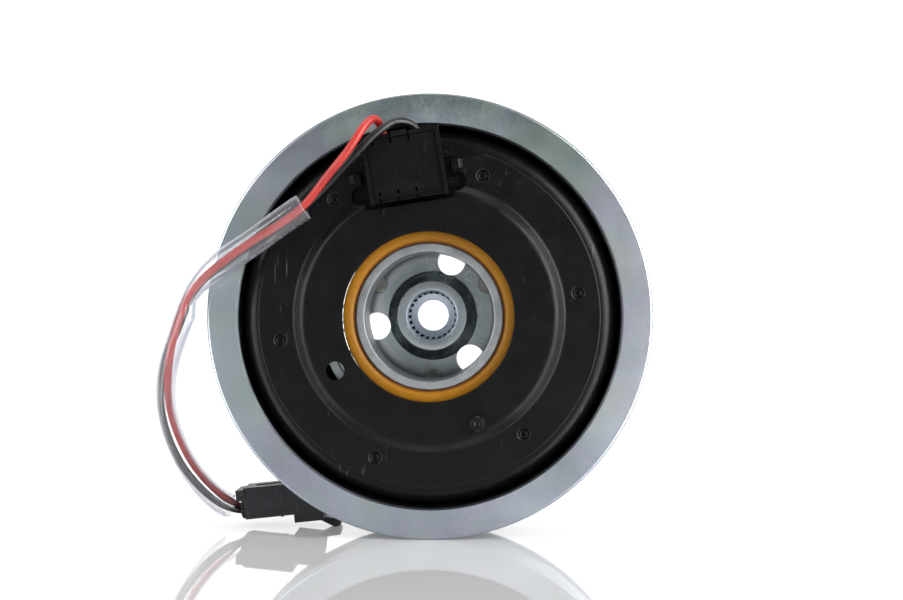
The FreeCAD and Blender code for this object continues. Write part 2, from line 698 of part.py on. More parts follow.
def make_races():
    """Outer race, pressed in the pulley, and inner race, which seats on the compressor nose."""
    outer = new_body("bearing_outer_race")
    turn(outer, [
        ("outer_edge_r", "bearing_rear"),
        ("bearing_r", "bearing_rear"),
        ("bearing_r", BEARING_FRONT),
        ("outer_edge_r", BEARING_FRONT),
        ("outer_edge_r", f"{BEARING_FRONT} - seal_room"),
        ("outer_land_r", f"{BEARING_FRONT} - seal_room"),
        ("outer_land_r", "bearing_rear + seal_room"),
        ("outer_edge_r", "bearing_rear + seal_room"),
    ])
    ball_tracks(outer)
    inner = new_body("bearing_inner_race")
    turn(inner, [
        ("bearing_bore_r", "bearing_rear"),
        ("inner_edge_r", "bearing_rear"),
        ("inner_edge_r", "bearing_rear + seal_room"),
        ("inner_land_r", "bearing_rear + seal_room"),
        ("inner_land_r", f"{BEARING_FRONT} - seal_room"),
        ("inner_edge_r", f"{BEARING_FRONT} - seal_room"),
        ("inner_edge_r", BEARING_FRONT),
        ("bearing_bore_r", BEARING_FRONT),
    ])
    ends = ("bearing_rear", BEARING_FRONT)
    round_rings(inner, [("bearing_bore_r", y) for y in ends], "0.4", "Chamfer")
    round_rings(inner, [("inner_edge_r", y) for y in ends], "0.25", "Chamfer")
    ball_tracks(inner)
    return [outer, inner]


def make_seal(name, face, inward):
    """Rubber seal: a flat ring with a ridge and a thin lip next to the inner race."""
    body = new_body(name)
    lip, rim = "inner_edge_r + 0.2", "outer_edge_r"
    turn(body, [
        (lip, f"{face} {inward} 0.9"),
        (f"{lip} + 0.5", f"{face} {inward} 0.9"),
        (f"{lip} + 0.8", f"{face} {inward} 0.25"),
        (f"{lip} + 1.4", f"{face} {inward} 0.2"),
        (f"{rim} - 0.9", f"{face} {inward} 0.5"),
        (rim, f"{face} {inward} 0.5"),
        (rim, f"{face} {inward} 1.7"),
        (lip, f"{face} {inward} 1.7"),
    ])
    return body


def make_balls(name, row):
    body = new_body(name)
    ball = turn_ball(body, row, "ball_r", "Revolution")
    around(body, [ball], "ball_count")
    return body


def turn_ball(body, row, radius, kind):
    """A ball on the ball pitch circle at +X, added or cut."""
    sk = new_sketch(body)
    x, y, r = val("ball_pcr"), val(row), val(radius)
    full = Part.Circle(Vector(x, y, 0), Vector(0, 0, 1), r)
    arc = sk.addGeometry(Part.ArcOfCircle(full, -math.pi / 2, math.pi / 2), False)
    line = sk.addGeometry(Part.LineSegment(Vector(x, y + r, 0), Vector(x, y - r, 0)), False)
    sk.addConstraint(Sketcher.Constraint("Coincident", arc, 2, line, 1))
    sk.addConstraint(Sketcher.Constraint("Coincident", line, 2, arc, 1))
    sk.addConstraint(Sketcher.Constraint("Vertical", line))
    sk.addConstraint(Sketcher.Constraint("PointOnObject", arc, 3, line))
    fix_point(sk, arc, 3, "ball_pcr", row)
    index = sk.addConstraint(Sketcher.Constraint("Radius", arc, r))
    tie(sk, f"Constraints[{index}]", radius)
    return turn_sketch(body, sk, "ball_pcr", kind)


def make_cage(name, row, inward):
    """Crown cage: a ring on the bearing's middle side with round pockets open to the seal."""
    body = new_body(name)
    turn(body, [
        ("cage_in_r", f"{row} {inward} (-1.5)"),
        ("cage_out_r", f"{row} {inward} (-1.5)"),
        ("cage_out_r", f"{row} {inward} (ball_r + 0.9)"),
        ("cage_in_r", f"{row} {inward} (ball_r + 0.9)"),
    ])
    pocket = turn_ball(body, row, "ball_r + 0.12", "Groove")
    around(body, [pocket], "ball_count")
    return body


# --- hub and armature -------------------------------------------------------------------
ARMATURE_REAR = "face_y + air_gap"
LEAF_REAR = f"{ARMATURE_REAR} + armature_t"
LEAF_FRONT = f"{LEAF_REAR} + 2 * leaf_t"
STOP_FRONT = f"{LEAF_FRONT} + plate3_t"


def make_hub():
    """Splined boss that takes the compressor shaft, and the flange that carries the springs."""
    body = new_body("hub")
    turn(body, [
        ("spline_minor_r", "hub_end"),
        ("boss_r", "hub_end"),
        ("boss_r", "flange_rear"),
        ("flange_r", "flange_rear"),
        ("flange_r", LEAF_REAR),
        ("nose_r", LEAF_REAR),
        ("nose_r", "nose_y"),
        ("bolt_seat_r", "nose_y"),
        ("bolt_seat_r", "bolt_seat_y"),
        ("bolt_r", "bolt_seat_y"),
        ("bolt_r", "spline_end"),
        ("spline_minor_r", "spline_end"),
    ])
    round_rings(body, [("boss_r", "flange_rear")], "root_fillet")
    round_rings(body, [("spline_minor_r", "hub_end")], "spline_mouth_r - spline_minor_r", "Chamfer")
    edges = [("boss_r", "hub_end"), ("flange_r", "flange_rear"), ("nose_r", "nose_y")]
    round_rings(body, edges, "0.4", "Chamfer")
    inner, outer = "spline_minor_r - 0.6", "spline_major_r"
    tooth_space = slab(body, lambda sk: rectangle(sk, inner, outer, "-spline_gap/2", "spline_gap/2"),
                       "hub_end - 1", "spline_end", "Pocket")
    around(body, [tooth_space], "spline_teeth")
    drill(body, "puller_pcr", "puller_angle", "puller_r", "flange_rear - 1", f"{LEAF_REAR} + 1")
    drill(body, "rivet_pcr", "rivet_angle", "rivet_r", "flange_rear - 1", f"{LEAF_REAR} + 1")
    return body


def drill(body, pitch, angle, radius, low, high, count="3"):
    """A ring of evenly spaced round holes."""
    x, z = polar(pitch, angle)
    hole = slab(body, lambda sk: circle(sk, x, z, radius), low, high, "Pocket")
    around(body, [hole], count)


def make_armature_plate():
    """Steel ring that the coil pulls onto the friction face, with three arc slots."""
    body = new_body("armature_plate")
    turn(body, [
        ("armature_bore_r", ARMATURE_REAR),
        ("armature_r", ARMATURE_REAR),
        ("armature_r", LEAF_REAR),
        ("armature_bore_r", LEAF_REAR),
    ])
    round_rings(body, [("armature_r", LEAF_REAR), ("armature_bore_r", LEAF_REAR)], "0.5", "Chamfer")
    arc_slots(body, "armature_slot_r", "slot_w", "armature_slot_angle", "3",
              f"{ARMATURE_REAR} - 1", f"{LEAF_REAR} + 1")
    body.Placement = turned("-(tip_angle + 60)")
    drill(body, "tip_pcr", "60", "tip_rivet_r", f"{ARMATURE_REAR} - 1", f"{LEAF_REAR} + 1")
    return body


def make_ring_of_rivets(name, pitch, angle, points):
    """Three like rivets around the axis, as separate solids."""
    body = new_body(name)
    rivet = turn_local(body, pitch, points)
    around(body, [rivet], "3")
    body.Placement = turned(f"-({angle})")
    return body


def make_fasteners():
    hub_rivets = make_ring_of_rivets("hub_rivets", "rivet_pcr", "rivet_angle", [
        ("0", "flange_rear - 0.15"),
        ("rivet_r - 0.4", "flange_rear - 0.15"),
        ("rivet_r", "flange_rear + 0.2"),
        ("rivet_r", STOP_FRONT),
        ("rivet_head_r", STOP_FRONT),
        ("rivet_head_r - 0.3", f"{STOP_FRONT} + 0.6 * rivet_head_t"),
        ("0.55 * rivet_head_r", f"{STOP_FRONT} + rivet_head_t"),
        ("0", f"{STOP_FRONT} + rivet_head_t"),
    ])
    armature_rivets = make_ring_of_rivets("armature_rivets", "tip_pcr", "tip_angle", [
        ("0", f"{ARMATURE_REAR} + 0.4"),
        ("tip_rivet_r", f"{ARMATURE_REAR} + 0.4"),
        ("tip_rivet_r", f"{LEAF_FRONT} + 0.03"),
        ("tip_head_r", f"{LEAF_FRONT} + 0.03"),
        ("tip_head_r - 0.3", f"{LEAF_FRONT} + 0.9"),
        ("0.5 * tip_head_r", f"{LEAF_FRONT} + 1.3"),
        ("0", f"{LEAF_FRONT} + 1.3"),
    ])
    rubber_stops = make_ring_of_rivets("rubber_stops", "stop_pcr", "stop_angle", [
        ("0", f"{LEAF_REAR} + 0.03"),
        ("stop_foot_r", f"{LEAF_REAR} + 0.03"),
        ("stop_foot_r", LEAF_FRONT),
        ("stop_r", LEAF_FRONT),
        ("stop_r", STOP_FRONT),
        ("stop_r + 1.3", STOP_FRONT),
        ("stop_r + 0.6", f"{STOP_FRONT} + 1.6"),
        ("stop_r - 1", f"{STOP_FRONT} + 2.2"),
        ("0", f"{STOP_FRONT} + 2.2"),
    ])
    return [hub_rivets, armature_rivets, rubber_stops]


def strap(sk, x1, z1, x2, z2, width):
    """A flat strap with round ends between two centres."""
    ax, az, bx, bz, r = val(x1), val(z1), val(x2), val(z2), val(width) / 2
    length = math.hypot(bx - ax, bz - az)
    nx, nz = -(bz - az) / length * r, (bx - ax) / length * r
    start = math.atan2(nz, nx)
    first = sk.GeometryCount
    sk.addGeometry(Part.LineSegment(Vector(bx - nx, bz - nz, 0), Vector(ax - nx, az - nz, 0)), False)
    near = Part.Circle(Vector(ax, az, 0), Vector(0, 0, 1), r)
    far = Part.Circle(Vector(bx, bz, 0), Vector(0, 0, 1), r)
    sk.addGeometry(Part.ArcOfCircle(near, start, start + math.pi), False)
    sk.addGeometry(Part.LineSegment(Vector(ax + nx, az + nz, 0), Vector(bx + nx, bz + nz, 0)), False)
    sk.addGeometry(Part.ArcOfCircle(far, start - math.pi, start), False)
    side, near_arc, other, far_arc = range(first, first + 4)
    joints = ((side, 2, near_arc, 2), (near_arc, 1, other, 1), (other, 2, far_arc, 2), (far_arc, 1, side, 1))
    for joined in joints:
        sk.addConstraint(Sketcher.Constraint("Tangent", *joined))
    fix_point(sk, near_arc, 3, x1, z1)
    fix_point(sk, far_arc, 3, x2, z2)
    index = sk.addConstraint(Sketcher.Constraint("Radius", near_arc, r))
    tie(sk, f"Constraints[{index}]", f"({width})/2")


def make_leaf_springs():
    """Three packs of leaves that drive the armature and pull it back when the coil is off."""
    body = new_body("leaf_springs")
    hub_x, hub_z = polar("rivet_pcr", "rivet_angle")
    tip_x, tip_z = polar("tip_pcr", "tip_angle")
    leaf = slab(body, lambda sk: strap(sk, hub_x, hub_z, tip_x, tip_z, "leaf_w"), LEAF_REAR, LEAF_FRONT)
    around(body, [leaf], "3")
    drill(body, "rivet_pcr", "rivet_angle", "rivet_r", f"{LEAF_REAR} - 1", f"{LEAF_FRONT} + 1")
    drill(body, "tip_pcr", "tip_angle", "tip_rivet_r + 0.05", f"{LEAF_REAR} - 1", f"{LEAF_FRONT} + 1")
    return body


def make_stop_plate():
    """Three-armed plate over the springs that carries the rubber stops."""
    body = new_body("stop_plate")
    slab(body, lambda sk: circle(sk, "0", "0", "flange_r"), LEAF_FRONT, STOP_FRONT)
    end_x, end_z = polar("stop_pcr", "stop_angle")
    arm = slab(body, lambda sk: strap(sk, "0", "0.001", end_x, end_z, "2 * arm_end_r"),
               LEAF_FRONT, STOP_FRONT)
    around(body, [arm], "3")
    slab(body, lambda sk: circle(sk, "0", "0", "plate3_bore_r"),
         f"{LEAF_FRONT} - 1", f"{STOP_FRONT} + 1", "Pocket")
    holes = (
        ("puller_pcr", "puller_angle", "puller_r"),
        ("rivet_pcr", "rivet_angle", "rivet_r"),
        ("stop_pcr", "stop_angle", "stop_r"),
    )
    for pitch, angle, radius in holes:
        drill(body, pitch, angle, radius, f"{LEAF_FRONT} - 1", f"{STOP_FRONT} + 1")
    return body


# --- harness ----------------------------------------------------------------------------
# Middle line of the leads inside the clear sleeve, from the coil's rear face down the left
# side of the rim to the connector, which lies below and in front of the rim.
SLEEVE_ROUTE = [
    (-33.0, -2.7, 29.0),
    (-44.5, -2.2, 21.1),
    (-55.4, -1.1, 13.7),
    (-62.4, 0.3, 7.4),
    (-67.6, 3.4, -2.5),
    (-71.6, 8.0, -12.5),
    (-73.3, 13.0, -24.0),
    (-72.0, 17.0, -33.1),
    (-68.9, 19.7, -41.0),
    (-63.9, 22.2, -48.1),
    (-58.1, 24.8, -53.3),
]
# From the box to the sleeve each lead has its own way.
RED_LOOP = [(-13.8, -1.9, 52.1), (-19.8, -6.9, 44.9), (-25.9, -5.6, 37.4)]
BLACK_LOOP = [
    (-7.2, -1.1, 51.7),
    (-11.0, -3.7, 50.2),
    (-14.5, -4.9, 47.4),
    (-17.4, -4.9, 44.4),
    (-23.2, -3.1, 38.6),
]
SPREAD = 1.4
# Heights a lead passes in the terminal box, from its crimp out through its hole, and distances
# from the connector's lead end it passes on its way in.
LEAD_RISES = (44.0, 47.0, 49.7)
LEAD_ENTRIES = (-0.5, 3.5)


def route_curve(points, start, end):
    curve = Part.BSplineCurve()
    curve.interpolate(Points=[Vector(*p) for p in points], InitialTangent=start, FinalTangent=end)
    return curve


def make_sweep(name, curve, radius):
    """A round rod along a curve."""
    spine = doc.addObject("Part::Feature", name + "_route")
    spine.Shape = curve.toShape()
    section = doc.addObject("Part::Circle", name + "_section")
    tie(section, "Radius", radius)
    first = curve.FirstParameter
    section.Placement = Placement(curve.value(first), Rotation(Vector(0, 0, 1), curve.tangent(first)[0]))
    sweep = doc.addObject("Part::Sweep", name)
    sweep.Label = name
    sweep.Sections = [section]
    sweep.Spine = (spine, ["Edge1"])
    sweep.Solid = True
    sweep.Frenet = False
    doc.recompute()
    return sweep


def make_lead(name, side, loop):
    """One lead from its crimp in the terminal box to its contact in the connector."""
    turn_coil = turned("coil_turn")
    up = turn_coil.multVec(Vector(0, 0, 1))
    inside = [turn_coil.multVec(Vector(side * val("lead_x"), val("lead_y"), z)) for z in LEAD_RISES]
    pair = [(x, y + side * SPREAD, z) for x, y, z in SLEEVE_ROUTE]
    across = side * val("contact_gap") / 2
    reaches = (*LEAD_ENTRIES, val("lead_depth"))
    plug = [plug_placement().multVec(Vector(reach, across, val("lead_rise"))) for reach in reaches]
    into = plug_placement().Rotation.multVec(Vector(1, 0, 0))
    points = [*inside, *loop, *pair, *plug]
    return make_sweep(name, route_curve(points, up, into), "lead_r")


def make_sleeve():
    """Clear tube over the two leads."""
    curve = route_curve(SLEEVE_ROUTE, Vector(-0.85, 0, -0.52), Vector(0.80, 0.38, -0.46))
    cut = doc.addObject("Part::Cut", "clear_sleeve")
    cut.Label = "clear_sleeve"
    cut.Base = make_sweep("sleeve_outside", curve, "sleeve_r")
    cut.Tool = make_sweep("sleeve_inside", curve, "sleeve_r - sleeve_wall")
    doc.recompute()
    return cut


def plug_placement():
    """Where the connector sits: its lead end's underside, tipped up towards its far end."""
    corner = Vector(val("plug_x"), val("plug_y"), val("plug_z"))
    return Placement(corner, Rotation(Vector(0, 1, 0), -val("plug_pitch")))


def make_connector():
    """Two-way plug: a body for the leads with a collar, a lower socket with two contacts, and
    a latch tongue under the socket. Drawn along +X from the lead end, then tipped into place."""
    housing = new_body("connector_housing")
    body_section = [
        ("-plug_w/2", "0"),
        ("plug_w/2", "0"),
        ("plug_w/2", "plug_tall"),
        ("-plug_w/2 + plug_lean", "plug_tall"),
        ("-plug_w/2", "plug_fold"),
    ]
    stack(housing, lambda sk: outline(sk, body_section), "0", "plug_body", role="YZ_Plane")
    steps = (("collar_out", "collar_low", "plug_tall - 0.5"), ("guide_out", "0.3", "collar_low"))
    for reach, low, high in steps:
        stack(housing, lambda sk: rectangle(sk, "-plug_w/2 + collar_in", "plug_w/2 - collar_in", low, high),
              f"-{reach}", "0", role="YZ_Plane")
    stack(housing, lambda sk: rectangle(sk, "-plug_w/2", "plug_w/2", "-socket_drop", "socket_top"),
          "plug_body - 0.5", "plug_end", role="YZ_Plane")
    slab(housing, lambda sk: outline(sk, [
        ("latch_from", "-socket_drop + 0.5"),
        ("latch_from + 1.5", "-socket_drop - 0.4"),
        ("latch_end - 1.8", "-latch_drop"),
        ("latch_end", "-latch_drop + 0.3"),
        ("latch_end", "-socket_drop - 0.6"),
        ("plug_end", "-socket_drop + 0.5"),
    ]), "-latch_half", "latch_half")
    stack(housing, lambda sk: rectangle(sk, "-plug_w/2 + plug_wall", "plug_w/2 - plug_wall",
                                        "-socket_drop + plug_wall", "socket_top - plug_wall"),
          "plug_end - socket_deep", "plug_end", "Pocket", "YZ_Plane")
    contacts = new_body("connector_contacts")
    seals = new_body("connector_seals")
    for sign in ("-", ""):
        middle = f"{sign}contact_gap/2"
        stack(housing, lambda sk: circle(sk, middle, "lead_rise", "lead_r + lead_bore"),
              "-collar_out", "plug_end - socket_deep + 0.01", "Pocket", "YZ_Plane")
        low, high = "lead_rise - contact_under - contact_t", "lead_rise - contact_under"
        near, far = f"{middle} - contact_w/2", f"{middle} + contact_w/2"
        stack(contacts, lambda sk: rectangle(sk, near, far, low, high),
              "lead_depth", "contact_end", role="YZ_Plane")
        stack(seals, lambda sk: ring(sk, middle, "lead_rise", "lead_r + seal_gap", "lead_r + lead_bore"),
              "wire_seal_from", "wire_seal_to", role="YZ_Plane")
    for body in (housing, contacts, seals):
        body.Placement = plug_placement()
    return [housing, contacts, seals]


def ring(sk, x, y, inner, outer):
    circle(sk, x, y, inner)
    circle(sk, x, y, outer)


# --- build, check and write -------------------------------------------------------------
PARTS = [
    make_mounting_plate(),
    make_locating_pin(),
    make_coil_housing(),
    *make_coil_inside(),
    make_terminal_box(),
    make_terminal_lid(),
    make_coil_terminals(),
    make_lead("lead_red", -1, RED_LOOP),
    make_lead("lead_black", 1, BLACK_LOOP),
    make_sleeve(),
    *make_connector(),
    make_pulley_rotor(),
    *make_races(),
    make_seal("bearing_seal_rear", "bearing_rear", "+"),
    make_seal("bearing_seal_front", BEARING_FRONT, "-"),
    make_balls("bearing_balls_rear", ROWS[0]),
    make_balls("bearing_balls_front", ROWS[1]),
    make_cage("bearing_cage_rear", ROWS[0], "+"),
    make_cage("bearing_cage_front", ROWS[1], "-"),
    make_hub(),
    make_leaf_springs(),
    make_stop_plate(),
    *make_fasteners(),
    make_armature_plate(),
]
doc.recompute()
for obj in doc.Objects:
    if "Invalid" in obj.State or "Error" in obj.State:
        raise RuntimeError(f"{obj.Name} failed: {obj.State}")
for part in PARTS:
    if part.Shape.isNull() or not part.Shape.isValid() or not part.Shape.Solids:
        raise RuntimeError(f"{part.Label} has no valid shape")

os.makedirs("parts", exist_ok=True)
for part in PARTS:
    part.Shape.exportStep(f"parts/{part.Label}.step")
print(f"{len(PARTS)} parts written")
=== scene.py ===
import json
import math

import bmesh
import bpy
import numpy as np
from mathutils import Matrix, Vector


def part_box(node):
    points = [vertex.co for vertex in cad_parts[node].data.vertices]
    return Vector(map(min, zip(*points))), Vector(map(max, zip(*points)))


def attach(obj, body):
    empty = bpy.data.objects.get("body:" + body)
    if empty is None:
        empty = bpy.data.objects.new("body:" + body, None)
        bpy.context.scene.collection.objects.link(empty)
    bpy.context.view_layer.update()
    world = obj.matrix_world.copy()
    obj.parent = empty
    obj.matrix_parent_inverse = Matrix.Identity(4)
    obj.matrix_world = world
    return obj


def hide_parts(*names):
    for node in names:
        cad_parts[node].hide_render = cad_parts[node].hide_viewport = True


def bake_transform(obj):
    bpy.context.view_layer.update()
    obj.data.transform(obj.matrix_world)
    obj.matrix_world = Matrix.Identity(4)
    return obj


# Electromagnetic clutch, seen from its coil. Lengths in this file are millimetres and angles are
# degrees, turned into metres and radians where Blender takes them. The clutch axis is +Y, the
# coil faces -Y and +Z is up. Angles run anticlockwise from +X as seen from the coil's side.

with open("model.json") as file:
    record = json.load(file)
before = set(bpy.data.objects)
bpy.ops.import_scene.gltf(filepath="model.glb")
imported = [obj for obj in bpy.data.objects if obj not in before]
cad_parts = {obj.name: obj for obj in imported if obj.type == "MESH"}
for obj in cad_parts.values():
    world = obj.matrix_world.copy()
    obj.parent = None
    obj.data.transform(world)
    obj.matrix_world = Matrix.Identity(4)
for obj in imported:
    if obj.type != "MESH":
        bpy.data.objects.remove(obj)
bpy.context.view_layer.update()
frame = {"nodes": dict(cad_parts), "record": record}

MM = 0.001
NOISE_BAND = (0.3, 0.7)
SLOT_OF = {row["node"]: row["material_slot"] for row in frame["record"]["subparts"]}
COIL_TURN = 9.0

# The harness runs from the terminal box over the rim's rear and down its left side to a plug.
SLEEVE_START, SLEEVE_END = (-0.85, 0, -0.52), (0.80, 0.38, -0.46)
SLEEVE_ROUTE = [
    (-33.0, -2.7, 29.0), (-44.5, -2.2, 21.1), (-55.4, -1.1, 13.7), (-62.4, 0.3, 7.4),
    (-67.6, 3.4, -2.5), (-71.6, 8.0, -12.5), (-73.3, 13.0, -24.0), (-72.0, 17.0, -33.1),
    (-68.9, 19.7, -41.0), (-63.9, 22.2, -48.1), (-58.1, 24.8, -53.3),
]
RED_LOOP = [(-13.8, -1.9, 52.1), (-19.8, -6.9, 44.9), (-25.9, -5.6, 37.4)]
BLACK_LOOP = [(-7.2, -1.1, 51.7), (-11.0, -3.7, 50.2), (-14.5, -4.9, 47.4), (-17.4, -4.9, 44.4),
              (-23.2, -3.1, 38.6)]
LEAD_RISES = (44.0, 47.0, 49.7)
LEAD_ENTRIES = (-0.5, 3.5, 8.0)
LEAD_SPREAD = 1.4
PLUG = Matrix.Translation((-52.5, 28.0, -57.6)) @ Matrix.Rotation(-math.radians(6), 4, "Y")
PLUG_LEAD_RISE, PLUG_LEAD_GAP = 2.3, 4.0


# --- places read from the frame ---------------------------------------------------------
def reach(node):
    """How far a round node reaches from the axis, along +X or -X."""
    lo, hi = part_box(node)
    return max(-lo.x, hi.x) / MM


def rear(node):
    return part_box(node)[0].y / MM


def front(node):
    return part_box(node)[1].y / MM


HUB_END = rear("hub")


# --- outlines ---------------------------------------------------------------------------
def arc(centre, radius, start, end, step=7.5):
    """Points of an arc between two angles."""
    count = max(2, math.ceil(abs(end - start) / step))
    angles = [math.radians(start + (end - start) * i / count) for i in range(count + 1)]
    return [(centre[0] + radius * math.cos(a), centre[1] + radius * math.sin(a)) for a in angles]


def rounded(corners):
    """Closed outline through (a, b) corners; a third number rounds that corner."""
    result = []
    for i, corner in enumerate(corners):
        if len(corner) == 2:
            result.append(corner)
            continue
        here = Vector(corner[:2])
        back = (Vector(corners[i - 1][:2]) - here).normalized()
        ahead = (Vector(corners[(i + 1) % len(corners)][:2]) - here).normalized()
        half = back.angle(ahead) / 2
        centre = here + (back + ahead).normalized() * corner[2] / math.sin(half)
        first = here + back * corner[2] / math.tan(half) - centre
        last = here + ahead * corner[2] / math.tan(half) - centre
        start = math.degrees(math.atan2(first.y, first.x))
        sweep = math.degrees(math.atan2(first.x * last.y - first.y * last.x, first.dot(last)))
        result += arc(centre, corner[2], start, start + sweep, 15)
    return result


def box_outline(x1, x2, z1, z2, radius=0.3):
    return rounded([(x1, z1, radius), (x2, z1, radius), (x2, z2, radius), (x1, z2, radius)])


def disc(centre, radius, step=5):
    return arc(centre, radius, 0, 360 - step, step)


def polar(radius, angle):
    return radius * math.cos(math.radians(angle)), radius * math.sin(math.radians(angle))


def thirds(angle):
    return [angle, angle + 120, angle + 240]


def strap_outline(a, b, radius):
    """Outline of a strap with round ends between two centres."""
    along = math.degrees(math.atan2(b[1] - a[1], b[0] - a[0]))
    return arc(a, radius, along + 90, along + 270) + arc(b, radius, along - 90, along + 90)


def arc_slot_outline(radius, width, middle, span):
    """Outline of a round-ended slot along a circle about the axis."""
    low, high = middle - span / 2, middle + span / 2
    near = arc((0, 0), radius - width / 2, high, low, 2)
    far = arc((0, 0), radius + width / 2, low, high, 2)
    return near + arc(polar(radius, low), width / 2, low + 180, low + 360, 20)[1:-1] + far + \
        arc(polar(radius, high), width / 2, high, high + 180, 20)[1:-1]


# --- meshes -----------------------------------------------------------------------------
def make_mesh(name, points, faces):
    mesh = bpy.data.meshes.new(name)
    mesh.from_pydata([Vector(p) * MM for p in points], [], faces)
    bm = bmesh.new()
    bm.from_mesh(mesh)
    bmesh.ops.recalc_face_normals(bm, faces=bm.faces)
    bm.to_mesh(mesh)
    bm.free()
    obj = bpy.data.objects.new(name, mesh)
    bpy.context.scene.collection.objects.link(obj)
    return obj


def lathe(name, outline, steps=256, centre=(0, 0)):
    """A solid turned about Y from a closed (radius, y) outline."""
    points, rings = [], []
    turns = [2 * math.pi * i / steps for i in range(steps)]
    for radius, y in outline:
        first = len(points)
        if radius < 1e-6:
            rings.append([first] * steps)
            points.append((centre[0], y, centre[1]))
            continue
        rings.append(list(range(first, first + steps)))
        points += [(centre[0] + radius * math.cos(a), y, centre[1] + radius * math.sin(a)) for a in turns]
    faces = []
    for ring, after in zip(rings, rings[1:] + rings[:1]):
        for i in range(steps):
            n = (i + 1) % steps
            corners = list(dict.fromkeys([ring[i], ring[n], after[n], after[i]]))
            if len(corners) > 2:
                faces.append(corners)
    return make_mesh(name, points, faces)


def extrude(name, outline, low, high, along="Y"):
    """A solid with this outline between two heights along an axis."""
    lift = {
        "X": lambda a, b, t: (t, a, b),
        "Y": lambda a, b, t: (a, t, b),
        "Z": lambda a, b, t: (a, b, t),
    }[along]
    count = len(outline)
    points = [lift(a, b, t) for t in (low, high) for a, b in outline]
    sides = [[i, (i + 1) % count, (i + 1) % count + count, i + count] for i in range(count)]
    return make_mesh(name, points, sides + [list(range(count)), list(range(count, 2 * count))])


def apply_modifiers(obj):
    bpy.context.view_layer.update()
    made = bpy.data.meshes.new_from_object(obj.evaluated_get(bpy.context.evaluated_depsgraph_get()))
    obj.modifiers.clear()
    obj.data = made
    return obj


def join(objects):
    """One object from several that don't touch."""
    bm = bmesh.new()
    for obj in objects:
        bm.from_mesh(obj.data)
    bm.to_mesh(objects[0].data)
    bm.free()
    for obj in objects[1:]:
        bpy.data.objects.remove(obj)
    return objects[0]


def combine(obj, tools, kind="DIFFERENCE"):
    """Cuts tools out of obj, or adds them to it. The tools are used up."""
    for tool in tools:
        modifier = obj.modifiers.new("combine", "BOOLEAN")
        modifier.operation = kind
        modifier.solver = "EXACT"
        modifier.object = tool
    apply_modifiers(obj)
    if not obj.data.polygons:
        raise RuntimeError(f"{obj.name} was lost in a {kind.lower()}")
    for tool in tools:
        bpy.data.objects.remove(tool)
    return obj


def soften(obj, width, angle=35, segments=2):
    """Rounds the edges sharper than an angle."""
    modifier = obj.modifiers.new("soften", "BEVEL")
    modifier.width = width * MM
    modifier.segments = segments
    modifier.limit_method = "ANGLE"
    modifier.angle_limit = math.radians(angle)
    return apply_modifiers(obj)


def turned(obj, angle):
    """Turns a mesh about the clutch axis, anticlockwise as seen from the coil."""
    obj.data.transform(Matrix.Rotation(-math.radians(angle), 4, "Y"))
    return obj


def holes(centres, radius, low, high):
    """Cutting tools for round holes along Y."""
    return join([extrude("hole", disc(c, radius), low, high) for c in centres])


def put(obj, material, body, *nodes, sharp=32):
    """Finishes a piece: smooth shading, its material, its body and the CAD nodes it stands for."""
    obj.data.shade_smooth()
    obj.data.set_sharp_from_angle(angle=math.radians(sharp))
    even = obj.modifiers.new("even", "WEIGHTED_NORMAL")
    even.keep_sharp = True
    apply_modifiers(obj)
    obj.data.materials.clear()
    obj.data.materials.append(material)
    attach(obj, body)
    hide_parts(*nodes)
    return obj


